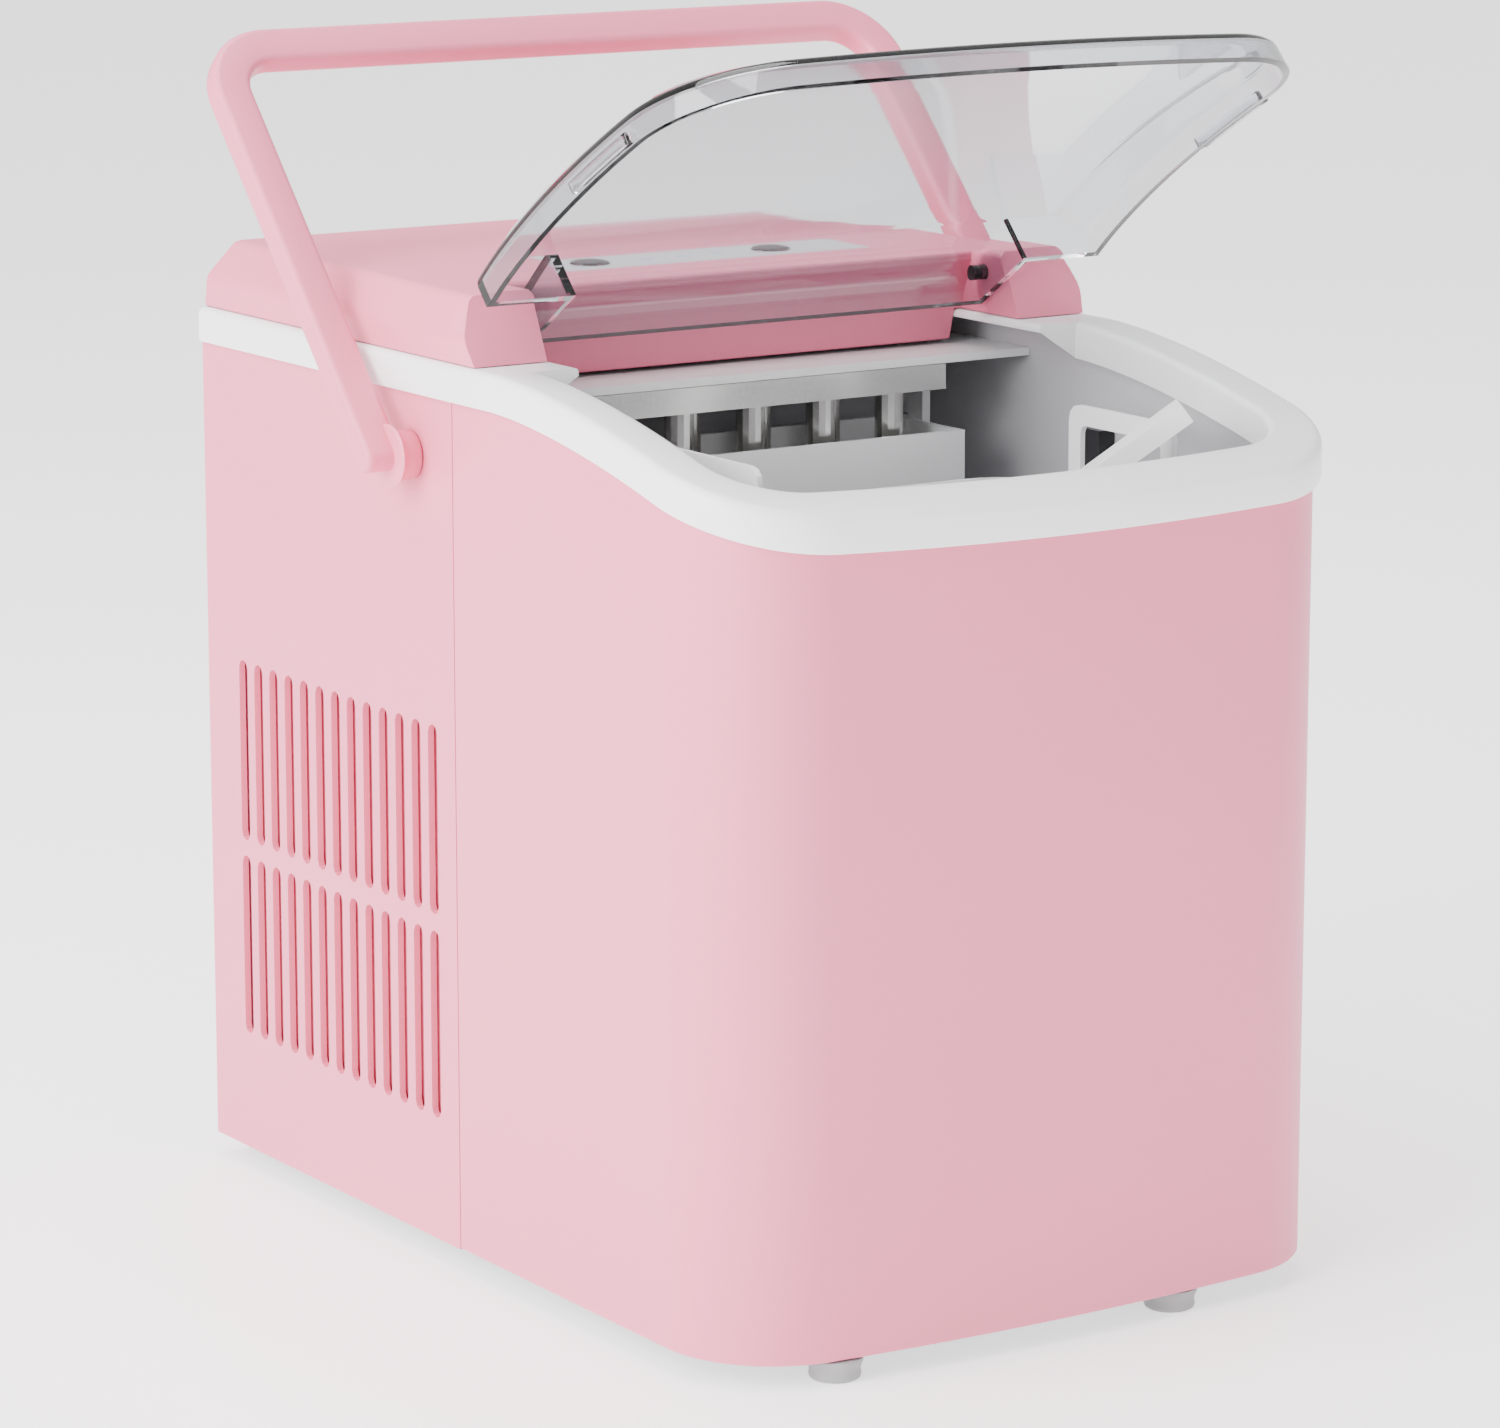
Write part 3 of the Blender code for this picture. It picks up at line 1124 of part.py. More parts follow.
def make_ice_shovel():
    low = TUB_LEDGE_Z + GAP + GRID_THICKNESS + GAP
    shovel = as_part("ice_shovel", box((-SHOVEL_HALF, -1.5 * MM, 0.0), (SHOVEL_HALF, 1.5 * MM, SHOVEL_HEIGHT)), WHITE)
    gaps = []
    pitch = 2 * SHOVEL_HALF / SHOVEL_TEETH
    for k in range(SHOVEL_TEETH - 1):
        x = -SHOVEL_HALF + pitch * (k + 1)
        gaps.append(box((x - pitch / 4, -OVERCUT, -OVERCUT), (x + pitch / 4, OVERCUT, SHOVEL_HEIGHT * 0.6)))
    combs = as_cutter("shovel_gaps", joined(gaps))
    combs.parent = shovel
    cut(shovel, combs)
    shovel.location = (0.0, SHOVEL_Y, low)
    return shovel


def make_water_pump():
    x, y = PUMP_CENTRE
    low = PAN_TOP + GAP
    profile = [(0.0, PUMP_TOP), (PUMP_RADIUS * 0.6, PUMP_TOP), (PUMP_RADIUS * 0.6, PUMP_TOP - 8 * MM),
               (PUMP_RADIUS, PUMP_TOP - 10 * MM), (PUMP_RADIUS, low), (0.0, low)]
    pump = as_part("water_pump", turned(profile, 24), DARK)
    pump.location = (x, y, 0.0)
    return pump


def make_pipes():
    x, y = PUMP_CENTRE
    behind = TUB_REAR_Y + HOSE_RADIUS + 1.5 * MM
    above = TUB_REAR_TOP + HOSE_RADIUS + 1 * MM
    start = PUMP_TOP + GAP
    under = TUB_FLOOR_Z - HOSE_RADIUS - 1 * MM
    hose = rounded_route([(x, y, start), (x, y, under), (x, behind, under), (x, behind, above),
                          (x, behind - 14 * MM, above)], 5 * MM, 3)
    as_part("pump_hose", tube(hose, HOSE_RADIUS), RUBBER)
    top = COMPRESSOR_TOP + GAP
    cx, cy = COMPRESSOR_CENTRE
    fin_x = sum(CONDENSER_X) / 2
    cond_top = FAN_CENTRE[1] + CONDENSER_HALF + GAP
    hot = rounded_route([(cx - 12 * MM, cy, top), (cx - 12 * MM, cy, 166 * MM), (fin_x, cy, 166 * MM),
                         (fin_x, cy, cond_top)], 7 * MM, 3)
    as_part("discharge_tube", tube(hot, PIPE_RADIUS), COPPER)
    pipe_y = TUB_REAR_Y + PIPE_RADIUS + 1.5 * MM
    evap_y = sum(row[0] for row in FINGER_ROWS) / 2 + MANIFOLD_SIZE[1] / 2 + GAP
    evap_z = FRAME_PLATE_Z - MANIFOLD_SIZE[2] / 2 - GAP
    pipe_x = MANIFOLD_SIZE[0] / 2 - 8 * MM
    cold = rounded_route([(pipe_x, evap_y, evap_z), (pipe_x, pipe_y, evap_z), (pipe_x, pipe_y, 175 * MM),
                          (cx + 12 * MM, cy, 175 * MM), (cx + 12 * MM, cy, top)], 7 * MM, 3)
    as_part("suction_tube", tube(cold, PIPE_RADIUS), COPPER)


def make_ice_sensors():
    wall = TUB_INNER_HALF - GAP
    for side, name in ((-1, "left"), (1, "right")):
        ends = sorted((side * wall, side * (wall - 6 * MM)))
        as_part("ice_sensor_" + name,
                box((ends[0], -46 * MM, 236 * MM), (ends[1], -36 * MM, 248 * MM)), DARK)


# ---- machinery --------------------------------------------------------------------------------
def make_compressor():
    x, y = COMPRESSOR_CENTRE
    w, d, t = COMPRESSOR_PLATE
    low = PAN_TOP + GAP
    body_low = low + t / 2
    r = COMPRESSOR_RADIUS
    dome = 14 * MM
    profile = [(0.0, COMPRESSOR_TOP), (r * 0.55, COMPRESSOR_TOP - dome * 0.15),
               (r * 0.88, COMPRESSOR_TOP - dome * 0.55), (r, COMPRESSOR_TOP - dome * 1.2),
               (r, body_low + dome), (r * 0.9, body_low + dome * 0.4), (r * 0.7, body_low), (0.0, body_low)]
    compressor = as_part("compressor", turned(profile, 28), BLACK_STEEL)
    plate = prism(rounded_rectangle(w / 2, d / 2, 8 * MM, steps=3), low, low + t)
    join(compressor, as_cutter("compressor_plate", plate))
    compressor.location = (x, y, 0.0)
    compressor.modifiers[0].object.parent = compressor
    return compressor


def make_condenser():
    """A spine with upright fins, one flat outline thickened upwards."""
    y, z = FAN_CENTRE
    near, far = CONDENSER_X
    pitch = (2 * CONDENSER_HALF - FIN_THICKNESS) / (CONDENSER_FINS - 1)
    low_y = y - CONDENSER_HALF
    spine = far - 3 * MM
    points = [(far, low_y), (far, y + CONDENSER_HALF)]
    for k in reversed(range(CONDENSER_FINS)):
        start = low_y + pitch * k
        points += [(near, start + FIN_THICKNESS), (near, start)]
        if k:
            points += [(spine, start), (spine, start - pitch + FIN_THICKNESS)]
    return as_part("condenser", prism(points, z - CONDENSER_HALF, z + CONDENSER_HALF), ALUMINIUM)


def make_fan():
    y, z = FAN_CENTRE
    half = SHROUD_SIZE / 2
    low, high = SHROUD_X
    shroud = as_part("fan_shroud", box((low, y - half, z - half), (high, y + half, z + half)), DARK)
    bar = 2.5 * MM
    mouth = cylinder(FAN_RADIUS + FAN_TIP_CLEARANCE, low - OVERCUT, high - bar, (y, z), "X", 36)
    windows = []
    ring = MOTOR_RADIUS
    reach = FAN_RADIUS + FAN_TIP_CLEARANCE
    for k in range(4):
        spread = 38
        outline = (arc((y, z), reach, 90 * k + 45 - spread, 90 * k + 45 + spread, 6)
                   + arc((y, z), ring, 90 * k + 45 + spread * 0.7, 90 * k + 45 - spread * 0.7, 3))
        windows.append(prism(outline, high - OVERCUT, high + OVERCUT, "X"))
    shaft = cylinder(3 * MM, high - OVERCUT, high + OVERCUT, (y, z), "X", 12)
    cut(shroud, as_cutter("shroud_mouth", mouth), as_cutter("shroud_windows", joined(windows + [shaft])))
    motor_low = high + GAP
    motor = as_part("fan_motor", cylinder(MOTOR_RADIUS, motor_low, motor_low + MOTOR_LENGTH, (y, z), "X", 24), DARK)
    socket = cylinder(2.4 * MM, motor_low - OVERCUT, motor_low + 8 * MM, (y, z), "X", 12)
    cut(motor, as_cutter("motor_socket", socket))
    make_fan_blade(low, high - bar, motor_low)


def make_fan_blade(low, high, motor_low):
    """A hub with pitched blades and a shaft, turning about X."""
    start, end = low + 1.5 * MM, high - 1.5 * MM
    middle = (start + end) / 2
    profile = [(0.0, end), (12 * MM, end), (13 * MM, start + 1 * MM), (11 * MM, start), (0.0, start)]
    hub = turned([(r, h - middle) for r, h in profile], 20)
    hub.transform(Matrix.Rotation(math.pi / 2, 4, "Y"))
    blade = as_part("fan_blade", hub, GREY)
    vanes = []
    thickness = 1.4 * MM
    depth = (end - start) * 0.42
    for k in range(FAN_BLADES):
        vane = box((-thickness / 2, -13 * MM, 10 * MM), (thickness / 2, 13 * MM, FAN_RADIUS * 0.94))
        vane.transform(Matrix.Rotation(math.atan2(depth, 13 * MM), 4, "Z"))
        vane.transform(Matrix.Rotation(2 * math.pi * k / FAN_BLADES, 4, "X"))
        vanes.append(vane)
    for k, vane in enumerate(vanes):
        item = as_cutter("vane_%d" % k, vane)
        item.parent = blade
        join(blade, item)
    shaft = as_cutter("fan_shaft", cylinder(2 * MM, 0.0, motor_low + 6 * MM - middle, axis="X", segments=12))
    shaft.parent = blade
    join(blade, shaft)
    blade.location = (middle, *FAN_CENTRE)
    return blade


def make_small_machinery():
    low = PAN_TOP + GAP
    profile = [(0.0, 96 * MM), (6 * MM, 96 * MM), (6 * MM, 84 * MM), (12 * MM, 82 * MM), (12 * MM, 60 * MM),
               (6 * MM, 58 * MM), (6 * MM, low), (0.0, low)]
    valve = as_part("hot_gas_valve", turned(profile, 20), CHROME)
    valve.location = (-28 * MM, 136 * MM, 0.0)
    profile = [(0.0, 128 * MM), (3 * MM, 128 * MM), (3 * MM, 120 * MM), (9 * MM, 112 * MM), (9 * MM, 40 * MM),
               (3 * MM, 32 * MM), (3 * MM, low), (0.0, low)]
    drier = as_part("filter_drier", turned(profile, 16), COPPER)
    drier.location = (96 * MM, 136 * MM, 0.0)


def make_power_inlet():
    x, z = INLET_CENTRE
    w, h = (size / 2 for size in INLET_SIZE)
    face = HALF_DEPTH + GAP
    inlet = as_part("power_inlet", box((x - w, face - INLET_DEPTH, z - h), (x + w, face + 1.0 * MM, z + h)), DARK)
    flange = box((x - w - 4 * MM, face, z - h - 3 * MM), (x + w + 4 * MM, face + 1.6 * MM, z + h + 3 * MM))
    join(inlet, as_cutter("inlet_flange", flange))
    socket = box((x - w + 3 * MM, face - INLET_DEPTH + 2 * MM, z - h + 3 * MM),
                 (x + w - 3 * MM, face + OVERCUT, z + h - 3 * MM))
    return cut(inlet, as_cutter("inlet_socket", socket))


def smooth_round_pieces():
    for item in PARTS.objects:
        item.data.shade_smooth()
        item.data.set_sharp_from_angle(angle=math.radians(35))


clear_scene()
PARTS = new_collection("ice_maker")
CUTTERS = new_collection("cutters")
make_base_pan()
make_feet()
make_front_shell()
make_side_panels()
make_back_panel()
make_screws()
make_top_rim()
make_top_housing()
make_control_panel()
make_control_board()
make_lid()
make_lid_pins()
make_handle()
make_handle_pivots()
make_inner_tub()
make_reservoir_grid()
make_drain()
make_basket()
make_scoop()
make_evaporator()
make_evaporator_frame()
make_water_tray()
make_tray_motor()
make_ice_shovel()
make_water_pump()
make_pipes()
make_ice_sensors()
make_compressor()
make_condenser()
make_fan()
make_small_machinery()
make_power_inlet()
smooth_round_pieces()
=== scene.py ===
"""Looks of a pink countertop ice maker: case, rim, clear lid, carry handle, bin, basket and scoop."""
import json
import math

import bmesh
import bpy
from mathutils import Matrix, Vector


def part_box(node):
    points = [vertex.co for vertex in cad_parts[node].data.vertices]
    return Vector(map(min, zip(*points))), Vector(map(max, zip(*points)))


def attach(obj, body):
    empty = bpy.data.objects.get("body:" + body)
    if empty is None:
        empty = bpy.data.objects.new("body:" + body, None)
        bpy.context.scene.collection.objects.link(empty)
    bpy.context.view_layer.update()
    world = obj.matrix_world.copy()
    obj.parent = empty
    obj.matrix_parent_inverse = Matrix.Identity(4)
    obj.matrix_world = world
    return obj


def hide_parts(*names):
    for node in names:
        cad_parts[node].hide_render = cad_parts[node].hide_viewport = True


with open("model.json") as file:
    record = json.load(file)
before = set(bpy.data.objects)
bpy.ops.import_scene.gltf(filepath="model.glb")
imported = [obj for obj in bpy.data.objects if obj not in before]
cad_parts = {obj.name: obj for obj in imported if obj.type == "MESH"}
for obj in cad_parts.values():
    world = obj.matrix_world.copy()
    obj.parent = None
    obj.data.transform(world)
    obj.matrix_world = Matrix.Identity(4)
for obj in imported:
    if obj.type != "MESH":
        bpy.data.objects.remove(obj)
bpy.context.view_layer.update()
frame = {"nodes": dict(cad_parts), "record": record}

MM = 0.001
RECORD = frame["record"]
NODES = frame["nodes"]
SLOT_OF = {entry["node"]: entry["material_slot"] for entry in RECORD["subparts"]}
BODY_OF = {node: body for body, nodes in RECORD["behaviour"]["bodies"].items() for node in nodes}
JOINTS = {joint["name"]: joint for joint in RECORD["behaviour"]["joints"]}

# ---- sizes taken from the frame ---------------------------------------------------------------
SHELL_LOW, SHELL_HIGH = (Vector(corner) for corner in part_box("front_shell"))
RIM_HIGH = Vector(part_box("top_rim")[1])
HALF_WIDTH = SHELL_HIGH.x
FRONT_Y = SHELL_LOW.y
RIM_TOP = RIM_HIGH.z
OVERHANG = RIM_HIGH.x - HALF_WIDTH

# ---- shape of the case ------------------------------------------------------------------------
CORNER = 37 * MM
CROWN = 3.3 * MM
REAR_CORNER = 4 * MM
WALL = 2.2 * MM
GAP = 0.3 * MM
WAVE_START = -25 * MM
WAVE_DROP = 26.9 * MM
WAVE_POWER = 1.6
FOOT_TURN = (0.6 * MM, 0.9 * MM)
HOUSING_EDGE = 2.0 * MM
CHEEK_FOOT_Y = -13.6 * MM
CHEEK_SLOPE = 0.45
CORNER_STEPS = 26
CROWN_STEPS = 20
SIDE_STEP = 4 * MM
TURN_STEPS = 48

# ---- rim --------------------------------------------------------------------------------------
RIM_BAND = 11.2 * MM
RIM_PLATE = 2.4 * MM
RIM_INNER = 13.5 * MM
RIM_LIP = 2.2 * MM
RIM_STEP_Y = -28 * MM
RIM_REAR_INNER = 27 * MM

# ---- lid --------------------------------------------------------------------------------------
LID_OPEN = 42.5
LID_LIFT = 1.0 * MM
LID_SKIRT = 9 * MM
LID_CHAMFER = 9.5 * MM
LID_TOP = 298 * MM
LID_DROP = 33 * MM
LID_HEEL = 10 * MM
LID_END_Y = -18.5 * MM
LID_TONGUE = 83.5 * MM
LID_TONGUE_REAR = 9.5 * MM
LID_FLANGE = 13 * MM
LID_WALL = 2.2 * MM
TAB_Y = (-116 * MM, -82 * MM)
TAB_SIZE = (2.2 * MM, 4.2 * MM)

# ---- handle -----------------------------------------------------------------------------------
HANDLE_TILT = 48.2
HANDLE_REACH = 157.5 * MM
HANDLE_OUTER = 128.5 * MM
HANDLE_WIDTH = 12.5 * MM
HANDLE_THICKNESS = 8.5 * MM
HANDLE_BEND = 24 * MM
HANDLE_FOOT = 4.2 * MM
HANDLE_EDGE = 2.2 * MM
HUB_END = 119.5 * MM
HUB_CLEARANCE = 0.5 * MM
# the hub's radius and how far each ring of it lies in from its flared outer face, in mm
HUB_FLARE = ((0.0, 0.0), (8.9, 0.0), (9.5, 0.2), (9.75, 0.6), (9.3, 1.2), (8.5, 2.0), (7.95, 3.0),
             (7.65, 4.2))
# the same for the end at the case, measured out from the running clearance
HUB_ROOT = ((7.6, 0.3), (7.3, 0.0), (0.0, 0.0))

# ---- vents ------------------------------------------------------------------------------------
VENT_REACH = (8 * MM, 139 * MM)
VENT_HEIGHTS = (40 * MM, 174 * MM)
VENT_BACKING = (1.0 * MM, 1.8 * MM)

# ---- feet, as shares of a foot's radius and height ---------------------------------------------
TREAD = ((0.0, 0.25), (0.62, 0.25), (0.7, 0.04), (0.82, 0.0), (0.9, 0.07), (0.93, 0.2), (0.9, 0.42),
         (0.93, 0.62), (1.0, 0.8), (1.0, 0.96), (0.96, 1.0), (0.0, 1.0))

# ---- studio -----------------------------------------------------------------------------------
MACHINE_MIDDLE = (0.0, 0.0, 0.17)
# name: place in metres, size in metres, watts
SOFTBOXES = {
    "left_softbox": ((-1.6, -0.2, 0.9), (1.4, 1.6), 80),
    "top_softbox": ((-0.2, 0.3, 1.9), (1.6, 1.2), 45),
    "front_softbox": ((0.9, -1.7, 0.7), (0.9, 1.4), 5),
}
FLOOR_REACH = 20.0
FLOOR_GLOW = 1.1
CAMERA_PLACE = (-0.94324, -1.42852, 0.51575)
CAMERA_PITCH = -11.6968
CAMERA_HEADING = -33.2876
CAMERA_LENS = 135.21


# ---- small helpers ----------------------------------------------------------------------------
def colour(code):
    """Linear RGBA of an sRGB hex value."""
    parts = [int(code[k:k + 2], 16) / 255 for k in (1, 3, 5)]
    return (*[c / 12.92 if c <= 0.04045 else ((c + 0.055) / 1.055) ** 2.4 for c in parts], 1.0)


def add(tree, kind, inputs=None, **settings):
    """Adds a node; an input given as a socket is linked and any other value is set."""
    made = tree.nodes.new(kind)
    for name, value in settings.items():
        setattr(made, name, value)
    for key, value in (inputs or {}).items():
        if isinstance(value, bpy.types.NodeSocket):
            tree.links.new(value, made.inputs[key])
        else:
            made.inputs[key].default_value = value
    return made


def new_piece(name, shape, node, finish, smooth_angle=35):
    """Makes a piece that stands for a CAD node, rides on its body and takes its finish."""
    mesh = bpy.data.meshes.new(name)
    shape.to_mesh(mesh)
    shape.free()
    mesh.shade_smooth()
    if smooth_angle:
        mesh.set_sharp_from_angle(angle=math.radians(smooth_angle))
    mesh.materials.append(finish)
    piece = bpy.data.objects.new(name, mesh)
    bpy.context.scene.collection.objects.link(piece)
    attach(piece, BODY_OF[node])
    return piece


def rounded_edges(piece, width, segments=3, angle=40):
    bevel = piece.modifiers.new("edges", "BEVEL")
    bevel.width = width
    bevel.segments = segments
    bevel.limit_method = "ANGLE"
    bevel.angle_limit = math.radians(angle)
    bevel.harden_normals = True


def walled(piece, thickness):
    wall = piece.modifiers.new("wall", "SOLIDIFY")
    wall.thickness = thickness
    wall.offset = -1.0
    wall.solidify_mode = "NON_MANIFOLD"
    wall.nonmanifold_thickness_mode = "CONSTRAINTS"
    wall.nonmanifold_boundary_mode = "NONE"


def flat_faced(piece):
    """Keeps the shading of broad flat faces even right up to their rounded edges."""
    level = piece.modifiers.new("flats", "WEIGHTED_NORMAL")
    level.weight = 100
    level.keep_sharp = True
    return piece


def softened(node, finish, width, segments=3, angle=30):
    """The node's own shape with its sharp edges rounded, as a moulding or a pressing has them."""
    shape = bmesh.new()
    shape.from_mesh(NODES[node].data)
    bmesh.ops.remove_doubles(shape, verts=shape.verts, dist=0.002 * MM)
    bmesh.ops.dissolve_limit(shape, angle_limit=math.radians(1), verts=shape.verts, edges=shape.edges)
    sharp = [edge for edge in shape.edges
             if len(edge.link_faces) == 2 and edge.calc_face_angle() > math.radians(angle)]
    bmesh.ops.bevel(shape, geom=sharp, affect="EDGES", offset=width, segments=segments, profile=0.5,
                    material=-1, clamp_overlap=True)
    piece = flat_faced(new_piece(node + "_moulding", shape, node, finish))
    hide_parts(node)


def arc(centre, radius, start, end, steps):
    """Points on an arc with their inward normals, angles in degrees."""
    points = []
    for k in range(steps + 1):
        angle = math.radians(start + (end - start) * k / steps)
        c, s = math.cos(angle), math.sin(angle)
        points.append((centre[0] + radius * c, centre[1] + radius * s, -c, -s))
    return points


def plain(points):
    return [(x, y) for x, y, _, _ in points]


def front_line(end_y):
    """The case's outer line from the left side round the front to the right, with inward normals."""
    corner_x = HALF_WIDTH - CORNER
    crown_radius = (corner_x ** 2 + CROWN ** 2) / (2 * CROWN)
    crown_y = FRONT_Y + crown_radius
    corner_y = crown_y - math.sqrt((crown_radius - CORNER) ** 2 - corner_x ** 2)
    meet = math.degrees(math.atan2(corner_y - crown_y, -corner_x)) % 360
    left = arc((-corner_x, corner_y), CORNER, 180, meet, CORNER_STEPS)
    crown = arc((0.0, crown_y), crown_radius, meet, 540 - meet, CROWN_STEPS)
    steps = max(1, round((end_y - corner_y) / SIDE_STEP))
    side = [(-HALF_WIDTH, end_y + (corner_y - end_y) * k / steps, 1.0, 0.0) for k in range(steps)]
    half = side + left + crown[1:CROWN_STEPS // 2]
    middle = [crown[CROWN_STEPS // 2]]
    return half + middle + [(-x, y, -nx, ny) for x, y, nx, ny in reversed(half)]


def wave(y):
    """Share of its whole drop that the rim has fallen at y."""
    return (max(0.0, WAVE_START - y) / (WAVE_START - FRONT_Y)) ** WAVE_POWER


def lofted(rows, ring=False, close=False):
    """A skin through rows of points; ring joins each row's ends and close joins the last row to the first."""
    shape = bmesh.new()
    lines = [[shape.verts.new(point) for point in row] for row in rows]
    pairs = list(zip(lines, lines[1:])) + ([(lines[-1], lines[0])] if close else [])
    for one, two in pairs:
        count = len(one) if ring else len(one) - 1
        for k in range(count):
            n = (k + 1) % len(one)
            shape.faces.new((one[k], one[n], two[n], two[k]))
    return shape


def turn(shape, profile, place):
    """Adds a turned solid; the profile runs from pole to pole as (radius, height along the axis)."""
    rings = []
    for radius, height in profile:
        angles = [math.tau * k / TURN_STEPS for k in range(TURN_STEPS if radius else 1)]
        ring = [place(radius * math.cos(a), radius * math.sin(a), height) for a in angles]
        rings.append([shape.verts.new(point) for point in ring])
    for one, two in zip(rings, rings[1:]):
        for k in range(TURN_STEPS):
            corners = (one[k % len(one)], one[(k + 1) % len(one)], two[(k + 1) % len(two)], two[k % len(two)])
            shape.faces.new(list(dict.fromkeys(corners)))


# ---- finishes ---------------------------------------------------------------------------------
def new_finish(name):
    """A material with its tree, its shader and the object's own coordinates."""
    finish = bpy.data.materials.new(name)
    finish.use_nodes = True
    tree = finish.node_tree
    return finish, tree, tree.nodes["Principled BSDF"], add(tree, "ShaderNodeTexCoord").outputs["Object"]


def grained(tree, shader, drift, grain, colours, gloss, strength, relief):
    """Colour that drifts between two tones, and gloss and relief that follow a fine grain."""
    blend = add(tree, "ShaderNodeMix", {"Factor": drift}, data_type="RGBA")
    # a Mix node lists its colour inputs A and B at places 6 and 7, and its colour output at place 2
    blend.inputs[6].default_value, blend.inputs[7].default_value = (colour(tone) for tone in colours)
    satin = add(tree, "ShaderNodeMapRange", {"Value": grain, "To Min": gloss[0], "To Max": gloss[1]})
    bump = add(tree, "ShaderNodeBump", {"Height": grain, "Strength": strength, "Distance": relief * MM})
    tree.links.new(blend.outputs[2], shader.inputs["Base Color"])
    tree.links.new(satin.outputs["Result"], shader.inputs["Roughness"])
    tree.links.new(bump.outputs["Normal"], shader.inputs["Normal"])


def moulded(name, main, tint, roughness, grain=0.7, relief=0.02):
    """A moulded plastic: a fine spark-eroded grain in mm, and a faint drift of colour and gloss."""
    finish, tree, shader, place = new_finish(name)
    fine = add(tree, "ShaderNodeTexNoise", {"Vector": place, "Scale": 1 / (grain * MM), "Detail": 3.0,
                                            "Roughness": 0.6})
    broad = add(tree, "ShaderNodeTexNoise", {"Vector": place, "Scale": 1 / (90 * MM), "Detail": 2.0})
    grained(tree, shader, broad.outputs["Fac"], fine.outputs["Fac"], (main, tint),
            (roughness - 0.03, roughness + 0.05), 0.35, relief)
    return finish


def metal(name, main, tint, roughness, stretch, grain=0.6, relief=0.01):
    """A bare metal with fine marks; stretch lengthens them along the direction it was drawn."""
    finish, tree, shader, place = new_finish(name)
    along = add(tree, "ShaderNodeMapping", {"Vector": place, "Scale": stretch})
    marks = add(tree, "ShaderNodeTexNoise", {"Vector": along.outputs["Vector"], "Scale": 1 / (grain * MM),
                                             "Detail": 4.0})
    grained(tree, shader, marks.outputs["Fac"], marks.outputs["Fac"], (main, tint),
            (roughness - 0.05, roughness + 0.08), 0.3, relief)
    shader.inputs["Metallic"].default_value = 1.0
    return finish


def clear_styrene():
    """Clear SAN, injection moulded and polished: sharp reflections and a faint cool grey in the thickness."""
    finish, tree, shader, place = new_finish("clear_san")
    flow = add(tree, "ShaderNodeTexNoise", {"Vector": place, "Scale": 1 / (60 * MM), "Detail": 1.0})
    bump = add(tree, "ShaderNodeBump", {"Height": flow.outputs["Fac"], "Strength": 0.15,
                                        "Distance": 0.2 * MM})
    tree.links.new(bump.outputs["Normal"], shader.inputs["Normal"])
    shader.inputs["Base Color"].default_value = colour("#dfe1e5")
    shader.inputs["Roughness"].default_value = 0.03
    shader.inputs["IOR"].default_value = 1.5
    shader.inputs["Transmission Weight"].default_value = 1.0
    return finish


FINISHES = {
    # pigmented ABS, satin: a soft broad highlight that follows the rounded corners
    "pink_shell": moulded("pink_abs", "#e0738f", "#e27893", 0.4, 0.9, 0.012),
    # white ABS, a little glossier than the case
    "white_plastic": moulded("white_abs", "#e9e9ea", "#efeff0", 0.3, 0.9, 0.01),
    "clear_plastic": clear_styrene(),
    # silver-grey polypropylene of the control strip
    "grey_plastic": moulded("silver_grey_pp", "#b9b8bb", "#c2c1c4", 0.38, 0.8, 0.015),
    "dark_plastic": moulded("black_abs", "#1b1b1d", "#232326", 0.35, 0.6, 0.02),
    # soft PVC of the feet, plug and hose: dull with a waxy edge
    "grey_rubber": moulded("grey_pvc", "#8c8c8d", "#97979a", 0.5, 0.5, 0.03),
    "steel": metal("galvanised_steel", "#a3a6a8", "#bcbec0", 0.42, (1.0, 1.0, 1.0), 9.0),
    "bright_metal": metal("nickel_plate", "#c9c8c4", "#d6d5d2", 0.18, (1.0, 1.0, 1.0), 1.2),
    "copper": metal("drawn_copper", "#b8704e", "#c98563", 0.3, (1.0, 1.0, 0.2), 1.0),
    "aluminium": metal("mill_aluminium", "#b5b7b9", "#c8c9cb", 0.38, (1.0, 1.0, 0.1), 0.8),
    "black_steel": moulded("black_enamel", "#121213", "#18181a", 0.3, 2.0, 0.03),
    "board_green": moulded("epoxy_glass_board", "#1d5a34", "#20683b", 0.45, 0.5, 0.02),
    "lens": moulded("blue_lens", "#b9d3df", "#c3dbe6", 0.15, 0.8, 0.005),
}


def finish_of(node):
    return FINISHES[SLOT_OF[node]]


# ---- case -------------------------------------------------------------------------------------
def front_wrap():
    """The one-piece pink wrap; its top edge runs just under the rim and falls with it."""
    line = front_line(SHELL_HIGH.y)
    low = SHELL_LOW.z
    top = RIM_TOP - RIM_PLATE - GAP
    inwards, upwards = FOOT_TURN
    turn_in = [(x + nx * inwards, y + ny * inwards, low) for x, y, nx, ny in line]
    foot = [(x, y, low + upwards) for x, y, _, _ in line]
    head = [(x, y, top - WAVE_DROP * wave(y)) for x, y, _, _ in line]
    shape = lofted([turn_in, foot, head])
    bmesh.ops.recalc_face_normals(shape, faces=shape.faces)
    turn_outwards(shape)
    piece = new_piece("front_wrap", shape, "front_shell", finish_of("front_shell"), 50)
    walled(piece, WALL)
    rounded_edges(piece, 0.35 * MM, 2, 50)
    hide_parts("front_shell")


def turn_outwards(shape, centre=(0.0, 0.0, 0.15)):
    """Turns every face of an open skin away from the middle of the machine."""
    total = sum((face.calc_center_median() - Vector(centre)).dot(face.normal) * face.calc_area()
                for face in shape.faces)
    if total < 0:
        bmesh.ops.reverse_faces(shape, faces=shape.faces)


